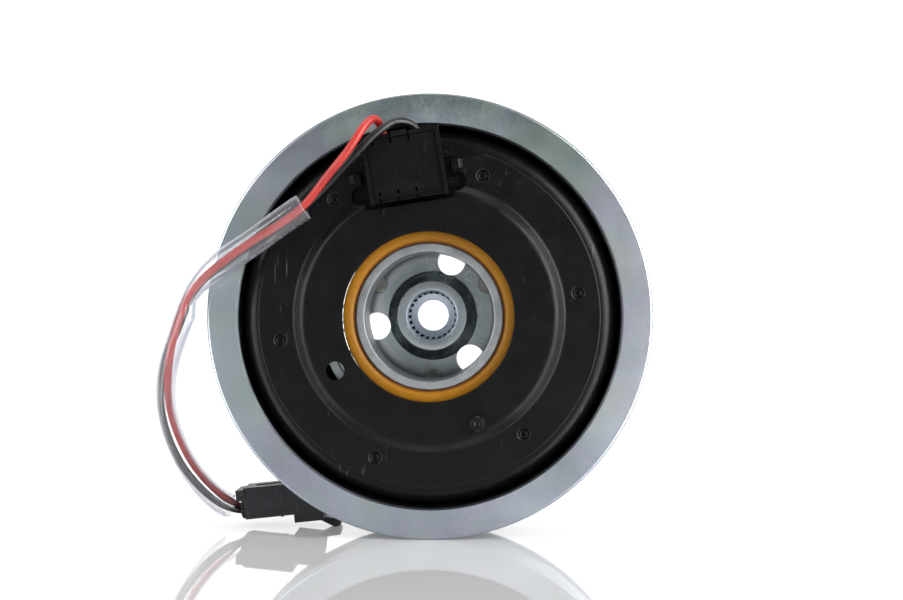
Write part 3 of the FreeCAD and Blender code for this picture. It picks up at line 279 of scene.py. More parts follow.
# --- material helpers -------------------------------------------------------------------
class Shader:
    """A node material. Each call adds a node and returns one of its outputs."""

    def __init__(self, name):
        self.material = bpy.data.materials.new(name)
        self.material.use_nodes = True
        self.tree = self.material.node_tree
        self.tree.nodes.clear()
        self.place = self.node("TexCoord", out="Object")
        self.split = None

    def node(self, kind, inputs=None, out=0, **settings):
        made = self.tree.nodes.new("ShaderNode" + kind)
        for key, value in settings.items():
            setattr(made, key, value)
        for key, value in (inputs or {}).items():
            if isinstance(value, bpy.types.NodeSocket):
                self.tree.links.new(value, made.inputs[key])
            else:
                made.inputs[key].default_value = value
        return made.outputs[out]

    def calc(self, operation, a, b=0.0, c=0.0):
        return self.node("Math", {0: a, 1: b, 2: c}, operation=operation)

    def times(self, a, b):
        return self.calc("MULTIPLY", a, b)

    def coords(self):
        """The x, y and z of a point in millimetres."""
        if self.split is None:
            scaled = self.node("VectorMath", {0: self.place, 3: 1 / MM}, operation="SCALE")
            parts = self.tree.nodes.new("ShaderNodeSeparateXYZ")
            self.tree.links.new(scaled, parts.inputs[0])
            self.split = parts.outputs
        return self.split

    def radius(self):
        x, _, z = self.coords()
        return self.calc("SQRT", self.calc("ADD", self.times(x, x), self.times(z, z)))

    def angle(self):
        """The angle about the clutch axis in radians."""
        x, _, z = self.coords()
        return self.calc("ARCTAN2", z, x)

    def vector(self, x=0.0, y=0.0, z=0.0):
        return self.node("CombineXYZ", {0: x, 1: y, 2: z})

    def noise(self, period, detail=3.0, vector=None, roughness=0.55, distortion=0.0):
        """Noise about 0.5 whose blobs are about this many millimetres apart."""
        if vector is None:
            vector = self.place
            period = period * MM
        return self.node("TexNoise", {"Vector": vector, "Scale": 1 / period, "Detail": detail,
                                      "Roughness": roughness, "Distortion": distortion})

    def range(self, value, low, high, to_low=0.0, to_high=1.0):
        return self.node("MapRange", {0: value, 1: low, 2: high, 3: to_low, 4: to_high}, clamp=True)

    def drift(self, period, detail, low=0.0, high=1.0):
        """A value that wanders between two limits over the surface."""
        return self.range(self.noise(period, detail), *NOISE_BAND, low, high)

    def ramp(self, value, stops):
        made = self.tree.nodes.new("ShaderNodeValToRGB")
        self.tree.links.new(value, made.inputs[0])
        for i, (position, colour) in enumerate(stops):
            stop = made.color_ramp.elements[i] if i < 2 else made.color_ramp.elements.new(position)
            stop.position = position
            stop.color = (*colour, 1)
        return made.outputs[0]

    def mix(self, factor, a, b):
        """Mixes two colours."""
        a, b = [(*v, 1) if isinstance(v, tuple) else v for v in (a, b)]
        return self.node("Mix", {0: factor, 6: a, 7: b}, out=2, data_type="RGBA")

    def bump(self, height, depth, below=None):
        """Shading bump of this depth in millimetres, over another bump."""
        inputs = {"Height": height, "Distance": depth * MM, "Strength": 1.0}
        if below is not None:
            inputs["Normal"] = below
        return self.node("Bump", inputs)

    def scratches(self, count=0.5, seed=0.0):
        """A mask of a few short, thin scratches in mixed directions."""
        masks = None
        for turn in (20, 75, 130):
            moved = self.node("Mapping", {
                "Vector": self.place, "Location": (seed, seed, seed * 0.7),
                "Rotation": (0, math.radians(turn), 0), "Scale": (2200, 300, 160)})
            streak = self.node("TexNoise", {"Vector": moved, "Scale": 1.0, "Detail": 0.0})
            mask = self.range(streak, 0.83 - 0.05 * count, 0.87 - 0.05 * count)
            masks = mask if masks is None else self.calc("MAXIMUM", masks, mask)
        return masks

    def surface(self, **inputs):
        """Ends the material with a principled surface. Underscores stand for spaces."""
        named = {key.replace("_", " "): value for key, value in inputs.items()}
        for key, value in named.items():
            if isinstance(value, tuple) and len(value) == 3:
                named[key] = (*value, 1)
        return self.finish(self.node("BsdfPrincipled", named))

    def finish(self, shader):
        output = self.tree.nodes.new("ShaderNodeOutputMaterial")
        self.tree.links.new(shader, output.inputs["Surface"])
        return self.material


def radial_tangent(shader):
    """The tangent that follows turning marks about the clutch axis."""
    return shader.node("Tangent", direction_type="RADIAL", axis="Y")


# --- materials --------------------------------------------------------------------------
def zinc_chromate():
    """Turned steel with a thin, faintly iridescent chromate film over zinc, with painted highlights on its
    right and left sides and painted shade at its top and bottom.
    """
    s = Shader("zinc_chromate")
    radius = s.radius()
    cloud = s.noise(26, 3, roughness=0.5, distortion=0.3)
    film_and_painted_light = s.ramp(cloud, [
        (0.30, (0.43, 0.53, 0.50)), (0.74, (0.52, 0.55, 0.45)), (0.42, (0.48, 0.54, 0.51)),
        (0.49, (0.50, 0.51, 0.59)), (0.55, (0.46, 0.53, 0.56)), (0.63, (0.50, 0.55, 0.49)),
    ])
    fine = s.noise(0.9, 3)
    x, _, z = s.coords()
    # Painted light set by position, so it turns with the pulley: a bluish painted highlight on the right
    # side, a paler painted highlight on the left, painted shade towards the bottom and deep painted shade at
    # the top.
    film_and_painted_light = s.mix(s.range(x, 40, 58, 0, 0.75), film_and_painted_light, (0.84, 0.87, 1.0))
    film_and_painted_light = s.mix(s.range(x, -40, -58, 0, 0.6), film_and_painted_light, (0.68, 0.80, 0.88))
    film_and_painted_light = s.mix(s.range(z, -15, -40, 0, 0.65), film_and_painted_light, (0.24, 0.26, 0.33))
    film_and_painted_light = s.mix(s.range(z, 36, 57, 0, 0.85), film_and_painted_light, (0.09, 0.125, 0.125))
    colour = s.mix(s.range(fine, 0.3, 0.7, 0, 0.22), film_and_painted_light, (0.50, 0.53, 0.53))
    rings = s.noise(0.22, 2, s.vector(radius, 0, 0))
    waves = s.noise(2.4, 2, s.vector(radius, 0, 0))
    normal = s.bump(rings, 0.004, s.bump(waves, 0.01))
    rough = s.drift(14, 4, 0.30, 0.42)
    return s.surface(Base_Color=colour, Metallic=1.0, Roughness=rough, Anisotropic=0.75,
                     Tangent=radial_tangent(s), Normal=normal)


def black_ecoat():
    """Dipped black paint over pressed steel: orange peel, dust, rubbed spots and scratches."""
    s = Shader("black_ecoat")
    radius, angle = s.radius(), s.angle()
    _, y, _ = s.coords()
    cloud = s.noise(11, 4)
    black = s.mix(cloud, (0.0016, 0.0016, 0.0019), (0.0036, 0.0036, 0.0039))
    dust = s.range(s.noise(0.45, 0), 0.84, 0.90)
    marks = s.times(s.scratches(0.2), s.range(s.noise(14, 2), 0.54, 0.62))
    grey = s.mix(s.times(dust, 0.25), black, (0.16, 0.16, 0.16))
    grey = s.mix(s.times(marks, 0.35), grey, (0.20, 0.20, 0.19))
    seat = s.times(s.range(radius, 22.98, 22.86), s.range(y, 0.6, 0.0))
    side = s.range(s.calc("ABSOLUTE", s.calc("SUBTRACT", s.calc("ABSOLUTE", angle), 3.05)), 0.55, 0.3)
    bare = s.times(s.times(seat, side), s.range(s.noise(2.2, 2), 0.35, 0.5))
    colour = s.mix(bare, grey, (0.75, 0.74, 0.70))
    peel = s.noise(1.1, 3)
    coarse = s.noise(9, 2)
    normal = s.bump(peel, 0.028, s.bump(coarse, 0.16))
    rough = s.range(s.noise(5, 4), 0.3, 0.75, 0.27, 0.42)
    return s.surface(Base_Color=colour, Metallic=bare, Roughness=rough, Normal=normal,
                     Specular_IOR_Level=0.21)


def moulded_nylon(name, colour, lighter, rough=0.5, grain=0.012, shine=0.35):
    """Moulded plastic with a fine eroded grain and faint flow marks."""
    s = Shader(name)
    flow = s.noise(6, 3)
    base = s.mix(s.range(flow, 0.3, 0.7), colour, lighter)
    specks = s.range(s.noise(0.5, 0), 0.80, 0.88)
    base = s.mix(s.times(specks, 0.25), base, tuple(min(1, 4 * c + 0.02) for c in lighter))
    scratched = tuple(min(1, 5 * c + 0.03) for c in lighter)
    base = s.mix(s.times(s.scratches(0.1, seed=1.7), 0.2), base, scratched)
    normal = s.bump(s.noise(0.18, 2), grain, s.bump(flow, 0.05))
    return s.surface(Base_Color=base, Roughness=s.drift(2.5, 3, rough - 0.07, rough + 0.07),
                     Normal=normal, Specular_IOR_Level=shine)


def insulation(name, colour, darker):
    """Glossy extruded PVC over a wire, with faint draw lines and handling marks."""
    s = Shader(name)
    patch = s.noise(5, 3)
    base = s.mix(s.range(patch, 0.35, 0.65), colour, darker)
    smear = s.range(s.noise(1.4, 4), 0.62, 0.75)
    base = s.mix(s.times(smear, 0.08), base, tuple(min(1, 1.5 * c + 0.05) for c in colour))
    rough = s.drift(3, 3, 0.30, 0.46)
    return s.surface(Base_Color=base, Roughness=rough, Normal=s.bump(s.noise(0.8, 2), 0.012),
                     Subsurface_Weight=0.05, Subsurface_Scale=0.0004)


def clear_pvc():
    """Thin clear tube: mostly see-through, with a milky haze that gathers at its edges and cut."""
    s = Shader("clear_pvc")
    normal = s.bump(s.noise(11, 2), 0.30)
    facing = s.node("LayerWeight", {"Blend": 0.5, "Normal": normal}, out="Facing")
    rim = s.calc("POWER", facing, 2.5)
    start, way = Vector(SLEEVE_ROUTE[0]), Vector(SLEEVE_START).normalized()
    offset = s.node("VectorMath", {0: s.place, 1: tuple(start * MM)}, operation="SUBTRACT")
    past = s.node("VectorMath", {0: offset, 1: tuple(way / MM)}, out="Value", operation="DOT_PRODUCT")
    cut = s.range(past, 0.30, 0.12)
    shine = s.node("BsdfGlossy", {"Color": (0.95, 0.97, 1, 1), "Roughness": 0.07, "Normal": normal})
    milk_colour = s.mix(s.noise(6, 2), (0.78, 0.78, 0.83), (0.70, 0.69, 0.68))
    milk = s.node("BsdfDiffuse", {"Color": milk_colour, "Normal": normal})
    glow = s.node("BsdfTranslucent", {"Color": milk_colour, "Normal": normal})
    haze = s.node("MixShader", {0: 0.5, 1: milk, 2: glow})
    clear = s.node("BsdfTransparent", {"Color": s.mix(rim, (0.985, 0.985, 0.99), (0.70, 0.70, 0.78))})
    cloudy = s.calc("ADD", s.range(s.noise(8, 3), 0.35, 0.75, 0.04, 0.09), s.times(rim, 0.22))
    cloudy = s.calc("MAXIMUM", cloudy, s.times(cut, 0.5))
    body = s.node("MixShader", {0: cloudy, 1: clear, 2: haze})
    gloss = s.calc("ADD", 0.04, s.times(rim, 0.7))
    return s.finish(s.node("MixShader", {0: gloss, 1: body, 2: shine}))


def amber_rubber():
    """Moulded amber seal rubber with faint flow lines around it and a little grime."""
    s = Shader("amber_rubber")
    radius, angle = s.radius(), s.angle()
    streak = s.noise(1.0, 4, s.vector(s.times(angle, 9.0), s.times(radius, 2.2)))
    base = s.mix(s.range(streak, 0.3, 0.7), (0.37, 0.160, 0.005), (0.30, 0.120, 0.003))
    band = s.range(radius, 20.2, 20.6)
    base = s.mix(band, (0.20, 0.065, 0.008), base)
    smear = s.noise(1.0, 4, s.vector(s.times(angle, 5.0), s.times(radius, 0.6)))
    grime = s.range(smear, 0.60, 0.78)
    base = s.mix(s.times(grime, 0.35), base, (0.12, 0.055, 0.015))
    normal = s.bump(s.noise(0.35, 3), 0.010, s.bump(streak, 0.02))
    return s.surface(Base_Color=base, Roughness=s.drift(3, 3, 0.38, 0.52), Normal=normal,
                     Specular_IOR_Level=0.3, Subsurface_Weight=0.12, Subsurface_Scale=0.0008)


def turned_steel(name, colour, lighter, rough=0.28, ring=0.3, depth=0.006, radial=0.0, anisotropy=0.6):
    """Lathe-turned steel: rings at this spacing, and ground marks across them where radial."""
    s = Shader(name)
    radius, angle = s.radius(), s.angle()
    _, y, _ = s.coords()
    cloud = s.noise(4, 4)
    base = s.mix(s.range(cloud, 0.3, 0.7), colour, lighter)
    rings = s.noise(ring, 2, s.vector(s.calc("ADD", radius, s.times(y, 0.8)), 0, 0))
    base = s.mix(s.range(rings, 0.35, 0.7, 0, 0.35), base, tuple(0.6 * c for c in colour))
    across = s.noise(1.0, 2, s.vector(s.times(angle, 70.0), s.times(radius, 0.3)))
    height = s.calc("ADD", rings, s.times(across, radial))
    spots = s.range(s.noise(1.3, 4), 0.62, 0.78)
    base = s.mix(s.times(spots, 0.35), base, tuple(0.45 * c for c in colour))
    return s.surface(Base_Color=base, Metallic=1.0, Roughness=s.range(cloud, 0.3, 0.7, rough, rough + 0.12),
                     Anisotropic=anisotropy, Tangent=radial_tangent(s), Normal=s.bump(height, depth))


def hub_zinc():
    """Turned, zinc-plated hub steel: bluer round the bore, with a painted pale sheen on the flange's left
    side and painted shade down in the spline's spaces.
    """
    s = Shader("hub_steel")
    radius = s.radius()
    x, y, _ = s.coords()
    cloud = s.noise(5, 4)
    base = s.mix(s.range(cloud, 0.3, 0.7), (0.42, 0.48, 0.48), (0.52, 0.57, 0.58))
    # Painted reflection: a pale lavender sheen on the outer part of the flange's left side.
    painted_left_sheen = s.times(s.range(radius, 14.6, 15.6), s.range(x, 4, -8))
    base = s.mix(s.times(painted_left_sheen, 0.6), base, (0.66, 0.66, 0.72))
    base = s.mix(s.range(radius, 10.3, 10.0), base, (0.62, 0.67, 0.70))
    base = s.mix(s.range(radius, 7.5, 7.3), base, (0.74, 0.82, 0.95))
    rings = s.noise(0.30, 2, s.vector(s.calc("ADD", radius, s.times(y, 0.8)), 0, 0))
    base = s.mix(s.range(rings, 0.35, 0.7, 0, 0.30), base, (0.30, 0.34, 0.35))
    # Painted shade: the spline's spaces are painted near black, starting a little way in from the hub's rear
    # end.
    spaces = s.times(s.range(radius, 6.36, 6.40), s.range(radius, 7.00, 6.92))
    spaces = s.times(spaces, s.range(y, HUB_END + 1.0, HUB_END + 2.0))
    base = s.mix(spaces, base, (0.008, 0.009, 0.012))
    return s.surface(Base_Color=base, Metallic=1.0, Roughness=s.range(cloud, 0.3, 0.7, 0.20, 0.30),
                     Anisotropic=0.4, Tangent=radial_tangent(s), Normal=s.bump(rings, 0.006))


def plain_metal(name, colour, lighter, rough=0.3, grain=0.9, depth=0.01, stained=0.3):
    """Rolled or formed metal with a fine grain and a few stains."""
    s = Shader(name)
    base = s.mix(s.drift(3, 4), colour, lighter)
    stain = s.range(s.noise(2.0, 5), 0.55, 0.75)
    base = s.mix(s.times(stain, stained), base, (0.1, 0.09, 0.08))
    rough_map = s.drift(1.5, 4, rough - 0.06, rough + 0.10)
    return s.surface(Base_Color=base, Metallic=1.0, Roughness=rough_map,
                     Normal=s.bump(s.noise(grain, 3), depth))


def rubber(name, colour):
    """Moulded rubber with a fine grain and a pale bloom in patches."""
    s = Shader(name)
    base = s.mix(s.noise(4, 4), colour, tuple(1.8 * c for c in colour))
    bloom = s.range(s.noise(2.2, 4), 0.55, 0.8)
    base = s.mix(s.times(bloom, 0.15), base, (0.12, 0.12, 0.12))
    return s.surface(Base_Color=base, Roughness=s.range(bloom, 0, 1, 0.5, 0.75),
                     Normal=s.bump(s.noise(0.3, 3), 0.02))


def enamelled_winding():
    """Enamelled wire wound around the bobbin: turns side by side along the axis and in layers."""
    s = Shader("enamelled_winding")
    wire = 0.7
    _, y, _ = s.coords()
    turn = s.calc("SINE", s.times(y, 2 * math.pi / wire))
    layer = s.calc("SINE", s.times(s.radius(), 2 * math.pi / wire))
    height = s.calc("ADD", turn, layer)
    base = s.mix(s.noise(2.0, 3), (0.42, 0.13, 0.045), (0.58, 0.22, 0.08))
    return s.surface(Base_Color=base, Metallic=0.8, Roughness=0.3, Coat_Weight=0.6,
                     Normal=s.bump(height, 0.12))


def potting_resin():
    """Cast resin with a soft waviness and a few pits."""
    s = Shader("potting_resin")
    base = s.mix(s.noise(5, 4), (0.020, 0.017, 0.015), (0.045, 0.038, 0.032))
    pits = s.range(s.noise(0.9, 1), 0.74, 0.80)
    normal = s.bump(s.calc("SUBTRACT", s.noise(6, 3), pits), 0.15)
    return s.surface(Base_Color=base, Roughness=s.drift(4, 3, 0.25, 0.5), Normal=normal)


MATERIALS = {
    "zinc_steel": zinc_chromate(),
    "black_ecoat": black_ecoat(),
    "box_nylon": moulded_nylon("box_nylon", (0.0012, 0.0012, 0.0014), (0.0026, 0.0026, 0.0030), 0.48,
                               shine=0.14),
    "connector_nylon": moulded_nylon("connector_nylon", (0.015, 0.015, 0.018), (0.024, 0.024, 0.028), 0.42),
    "red_insulation": insulation("red_insulation", (0.47, 0.032, 0.023), (0.38, 0.022, 0.017)),
    "black_insulation": insulation("black_insulation", (0.004, 0.004, 0.005), (0.008, 0.008, 0.009)),
    "clear_pvc": clear_pvc(),
    "amber_rubber": amber_rubber(),
    "bearing_steel": turned_steel("bearing_steel", (0.42, 0.44, 0.45), (0.54, 0.56, 0.57), 0.34, 0.5,
                                  0.004, radial=2.5, anisotropy=0.0),
    "hub_steel": hub_zinc(),
    "rivet_steel": plain_metal("rivet_steel", (0.36, 0.37, 0.35), (0.56, 0.56, 0.54), 0.36, 0.8, 0.05),
    "spring_steel": plain_metal("spring_steel", (0.36, 0.37, 0.39), (0.48, 0.49, 0.50), 0.26, 1.2, 0.006),
    "armature_steel": turned_steel("armature_steel", (0.40, 0.42, 0.45), (0.52, 0.54, 0.56), 0.30, 0.35,
                                   0.006),
    "ball_steel": plain_metal("ball_steel", (0.72, 0.73, 0.75), (0.80, 0.81, 0.82), 0.10, 2.0, 0.001,
                              stained=0.1),
    "terminal_brass": plain_metal("terminal_brass", (0.66, 0.50, 0.22), (0.78, 0.62, 0.30), 0.25, 0.8, 0.004),
    "stop_rubber": rubber("stop_rubber", (0.016, 0.016, 0.017)),
    "seal_silicone": rubber("seal_silicone", (0.30, 0.05, 0.03)),
    "bobbin_nylon": moulded_nylon("bobbin_nylon", (0.30, 0.28, 0.22), (0.40, 0.37, 0.30), 0.45),
    "cage_nylon": moulded_nylon("cage_nylon", (0.34, 0.27, 0.15), (0.44, 0.36, 0.22), 0.42),
    "copper_wire": enamelled_winding(),
    "potting_resin": potting_resin(),
}


# --- coil -------------------------------------------------------------------------------
PLATE_R = 46.0
SEAT_R = 22.75
SEAT_Y = 0.0
RING_Y = 2.0
PLATE_T = 3.0
STEP = (33.8, 36.3)
CHORD_Z = 40.5
DRAIN, PIN, PIN_R = polar(28.8, 201), polar(31.0, 285.5), 2.5
WELD_R, WELD_SIZE = 40.3, 0.78


def dimple(angle):
    """A cutting tool for one weld dimple: a round trough with a low mound in its middle."""
    y = RING_Y
    trough = [(0, y + 0.36), (0.25, y + 0.40), (0.45, y + 0.58), (0.65, y + 0.80), (0.85, y + 0.90),
              (1.15, y + 0.92), (1.4, y + 0.84), (1.6, y + 0.66), (1.8, y + 0.43), (2.0, y + 0.22),
              (2.2, y + 0.09), (2.45, y + 0.02), (2.7, y - 0.01)]
    outline = [(WELD_SIZE * r, h) for r, h in trough + [(2.7, y - 0.6), (0, y - 0.6)]]
    return lathe("dimple", outline, 64, polar(WELD_R, angle))


def window_outline():
    """The window for the terminal box, with a lobe each side, open at the flat cut above."""
    half = [(12.0, 30.4, 1.0), (12.0, 31.9), (15.5, 31.9, 2.65), (15.5, 37.3, 2.65), (12.0, 37.3, 0.7),
            (12.0, CHORD_Z, 0.4), (50.0, CHORD_Z), (50.0, 50.0)]
    mirrored = [(-c[0], *c[1:]) for c in reversed(half)]
    return rounded(half + mirrored)


def tab(side):
    """A tongue of the plate bent back beside the terminal box."""
    low, high = RING_Y - 1.0, RING_Y + 1.55
    outline = rounded([
        (side * 15.4, RING_Y + 0.02, 0.4), (side * 15.0, high, 0.5), (side * 13.2, RING_Y + 0.9, 0.8),
        (side * 11.9, RING_Y + 0.75, 0.4), (side * 11.9, low, 0.6), (side * 14.3, low, 0.9),
    ])
    return soften(extrude("tab", outline, CHORD_Z - 2.75, CHORD_Z - 0.02, "Z"), 0.35)


def mounting_plate():
    plate = lathe("mounting_plate_pressing", rounded([
        (SEAT_R, SEAT_Y, 0.15), (STEP[0], SEAT_Y, 3.0), (STEP[1], RING_Y, 1.6), (PLATE_R, RING_Y, 0.6),
        (PLATE_R, RING_Y + PLATE_T, 0.3), (STEP[1] - 0.9, RING_Y + PLATE_T, 1.0),
        (STEP[0] - 0.9, PLATE_T, 1.5), (SEAT_R, PLATE_T, 0.3),
    ]), 384)
    combine(plate, [
        extrude("window", window_outline(), -2, 8),
        holes([DRAIN, PIN], PIN_R, -2, 8),
        join([dimple(60 * i) for i in range(6)]),
    ])
    soften(plate, 0.16, 50)
    turned(combine(plate, [tab(1), tab(-1)], "UNION"), COIL_TURN)
    put(plate, MATERIALS["black_ecoat"], "stator", "mounting_plate")


def locating_pin():
    """A stepped pin: the end that stands out is thinner than the shank in the plate."""
    y, end_r, shank_r = rear("locating_pin"), 2.25, PIN_R
    pin = lathe("dowel", rounded([
        (0, y + 0.45), (0.6, y + 0.15, 0.2), (0.9, y, 0.2), (end_r - 0.8, y, 0.25), (end_r, y + 0.8, 0.25),
        (end_r, SEAT_Y, 0.05), (shank_r, SEAT_Y, 0.05),
        (shank_r, front("locating_pin"), 0.2), (0, front("locating_pin")),
    ]), 64, PIN)
    put(turned(pin, COIL_TURN), MATERIALS["black_ecoat"], "stator", "locating_pin")


def coil_housing():
    inner, outer, back, end = 30.8, reach("coil_housing"), rear("coil_housing"), front("coil_housing")
    wall = 3.3
    yoke = lathe("coil_yoke", rounded([
        (inner, back, 1.5), (outer, back, 4.8), (outer, end, 0.4), (outer - wall, end, 0.2),
        (outer - wall, back + wall, 1.5), (inner + wall, back + wall, 1.5), (inner + wall, end, 0.2),
        (inner, end, 0.4),
    ]), 384)
    combine(yoke, [extrude("passage", box_outline(-7, 7, 37, 41, 0.5), back - 1, back + wall + 1)])
    put(turned(yoke, COIL_TURN), MATERIALS["black_ecoat"], "stator", "coil_housing")


BOX = {"half": 10.35, "low": 31.5, "high": 49.4, "rear": -3.6, "front": 4.9, "wall": 1.05}
SNAPS = (-7.5, -2.65, 2.2)
LEAD_X, LEAD_Y, LEAD_R = 4.4, 0.6, 1.06


def terminal_box():
    """The box without its lid: walls, side ribs, lugs, a raised lip and a block on the top."""
    half, low, high, wall = BOX["half"], BOX["low"], BOX["high"], BOX["wall"]
    back, end = BOX["rear"], BOX["front"]
    box = soften(extrude("coil_terminal_box", box_outline(-half, half, low, high, 0.5), back, end), 0.18)
    added = [
        extrude("rib", box_outline(half - wall, half + 0.02, low - 0.35, high + 0.75),
                back - 0.25, end - 3),
        extrude("rib", box_outline(-half - 0.02, -half + wall, low - 0.35, high - 3.2),
                back - 0.2, end - 3),
        extrude("block", box_outline(5.6, half - wall + 0.1, high - 1.4, high + 0.7, 0.2),
                back + 0.35, end - 4),
        extrude("lip", box_outline(-2.5, 2.0, high - 1.5, high + 0.35), back - 0.45, end - 5),
    ]
    for side in (1, -1):
        for z in (low + 1.9, low + 9.9):
            ends = sorted((side * (half - 0.5), side * (half + 3.1)))
            added.append(extrude("lug", box_outline(*ends, z, z + 2.7, 0.35), end - 1.6, end - 0.1))
            brace = sorted((side * (half - 0.3), side * (half + 1.3)))
            added.append(extrude("brace", box_outline(*brace, z + 0.9, z + 1.8, 0.2), end - 2.6, end - 0.5))
    for tool in added:
        soften(tool, 0.14)
    combine(box, added, "UNION")
    cuts = [
        extrude("inside", box_outline(-half + wall, half - wall, low + wall, high - wall),
                back - 1, end - 1.5),
        extrude("gutter", box_outline(-half + wall + 0.3, half - wall - 0.2, low + 0.42, low + 0.62, 0.08),
                back - 1, back + 0.7),
    ]
    for side in (1, -1):
        x = side * LEAD_X
        cuts.append(extrude("exit", disc((x, LEAD_Y), LEAD_R + 0.35, 15), high - 3, high + 3, "Z"))
        cuts.append(extrude("slit", box_outline(x - 1.2, x + 1.2, 38, 40.2), end - 3, end + 1))
    for x in SNAPS:
        for z in (low, high):
            notch = box_outline(x - 0.3, x + 0.3, z - 0.9, z + 0.9, 0.1)
            cuts.append(extrude("notch", notch, back - 1, back + 1.2))
    turned(combine(box, cuts), COIL_TURN)
    put(box, MATERIALS["box_nylon"], "stator", "terminal_box")


def terminal_lid():
    """The lid, slotted at its snaps, with two low ribs and a lip along its lower edge."""
    wall, gap = BOX["wall"], 0.08
    half, low, high = BOX["half"] - wall - gap, BOX["low"] + wall + gap, BOX["high"] - wall - gap
    y = rear("terminal_box_lid") + 0.2
    lid = extrude("coil_terminal_lid", box_outline(-half, half, low, high, 0.5), y, y + 1.3)
    slots = [extrude("slot", box_outline(x - 0.27, x + 0.27, *ends, 0.1), y - 1, y + 2)
             for x in SNAPS for ends in ((low - 1, low + 1.75), (high - 1.4, high + 1))]
    combine(lid, [join(slots)])
    soften(lid, 0.12)
    ribs = [extrude("rib", box_outline(x, x + 0.45, low + 3.5, high - 1.6, 0.15), y - 0.06, y + 0.3)
            for x in (-2.75, 3.7)]
    lip = box_outline(-half + 0.2, half - 0.2, low + 0.02, low + 0.55, 0.15)
    ribs.append(extrude("lip", lip, y - 0.3, y + 0.3))
    for rib in ribs:
        soften(rib, 0.1)
    ribs.append(extrude("gate", disc((-6.2, 44.6), 0.35, 20), y - 0.12, y + 0.3))
    combine(lid, ribs, "UNION")
    put(turned(lid, COIL_TURN), MATERIALS["box_nylon"], "stator", "terminal_box_lid")


# --- pulley and bearing -----------------------------------------------------------------
RIBS, RIB_PITCH = 6, 3.56


def belt_ribs(low, radius):
    """The (radius, y) corners of the belt grooves, from the rear to the front."""
    corners = []
    for i in range(RIBS):
        middle = low + RIB_PITCH * (i + 0.5)
        corners += [(radius, middle - 1.45, 0.25), (radius - 2.97, middle - 0.37, 0.2),
                    (radius - 2.97, middle + 0.37, 0.2), (radius, middle + 1.45, 0.25)]
    return corners


def pulley():
    outer, back, face = reach("pulley_rotor"), 4.0, front("pulley_rotor")
    ribs_low = back + 2.9
    ribs_high = ribs_low + RIBS * RIB_PITCH
    bore, seat, lip, crest, sleeve = 51.5, 27.5, 25.2, 58.8, 30.0
    seat_low, seat_high = 3.8, 24.2
    rotor = lathe("pulley_rim_and_wall", rounded([
        (bore, back + 0.55), (bore + 0.55, back), (outer, back, 0.8), (outer, ribs_low, 0.3),
        (crest, ribs_low, 0.3), *belt_ribs(ribs_low, crest), (crest, ribs_high, 0.3),
        (outer, ribs_high, 0.3), (outer, face - 0.9, 0.8), (55.2, face - 0.9, 0.2), (55.2, face, 0.5),
        (lip, face, 0.5), (lip, seat_high, 0.1), (seat, seat_high), (seat, seat_low, 0.2),
        (sleeve, seat_low, 0.35), (sleeve, face - 5, 2.0), (bore, face - 5, 2.0),
    ]), 384)
    slots = [extrude("slot", arc_slot_outline(r, 2.4, 60 * i, 50), face - 6, face + 1)
             for r in (34.6, 47.6) for i in range(6)]
    combine(rotor, [join(slots)])
    put(rotor, MATERIALS["zinc_steel"], "pulley", "pulley_rotor")


def bearing():
    back, end = rear("bearing_inner_race"), front("bearing_inner_race")
    room, groove, ball_circle = 2.2, 2.77, 22.25
    rows = [(back + end) / 2 - 4.3, (back + end) / 2 + 4.3]

    def track(land, sign):
        """Corners along a race's land from the rear to the front, with a groove for each row."""
        corners = []
        for y in rows:
            span = math.sqrt(groove**2 - (land - ball_circle) ** 2)
            for i in range(9):
                dy = -span + 2 * span * i / 8
                corners.append((ball_circle + sign * math.sqrt(max(groove**2 - dy**2, 0)), y + dy))
        return corners

    outer = lathe("outer_race_ring", [
        (24.8, back + 0.2), (24.9, back), (27.0, back), (27.35, back + 0.15), (27.5, back + 0.5),
        (27.5, end - 0.5), (27.35, end - 0.15), (27.0, end), (24.9, end), (24.8, end - 0.2),
        (24.8, end - room), (24.2, end - room), *track(24.2, 1)[::-1], (24.2, back + room),
        (24.8, back + room),
    ], 256)
    put(outer, MATERIALS["bearing_steel"], "pulley", "bearing_outer_race")
    inner = lathe("inner_race_ring", [
        (17.5, back + 0.22), (17.56, back + 0.08), (17.7, back), (19.35, back), (19.6, back + 0.12),
        (19.7, back + 0.35), (19.7, back + room), (20.3, back + room), *track(20.3, -1),
        (20.3, end - room), (19.7, end - room), (19.7, end - 0.35), (19.6, end - 0.12), (19.35, end),
        (17.95, end), (17.62, end - 0.2), (17.5, end - 0.45),
    ], 256)
    put(inner, MATERIALS["bearing_steel"], "stator", "bearing_inner_race")
    ridges = [
        (19.90, 1.00), (20.00, 0.78), (20.22, 0.66), (20.40, 0.74), (20.52, 0.60), (20.75, 0.40),
        (21.20, 0.22), (21.80, 0.13), (22.40, 0.11), (23.00, 0.16), (23.60, 0.30), (24.10, 0.48),
        (24.60, 0.68), (24.78, 0.80), (24.78, 1.7), (19.90, 1.7),
    ]
    for place, face, sign in (("rear", back, 1), ("front", end, -1)):
        ring = lathe(f"seal_{place}_lip_ring", [(r, face + sign * y) for r, y in ridges], 256)
        put(ring, MATERIALS["amber_rubber"], "pulley", f"bearing_seal_{place}", sharp=60)


# --- hub, springs and armature ----------------------------------------------------------
FLANGE_REAR, LEAF_REAR = 33.2, rear("leaf_springs")
LEAF_FRONT, STOP_FRONT = front("leaf_springs"), front("stop_plate")
PULLER_R = 3.95
PULLERS = [polar(16.45, a) for a in thirds(71)]
RIVETS = [polar(18.1, a) for a in thirds(30)]
TIPS = [polar(41.1, a) for a in thirds(-22)]
STOPS = [polar(41.1, a) for a in thirds(38)]


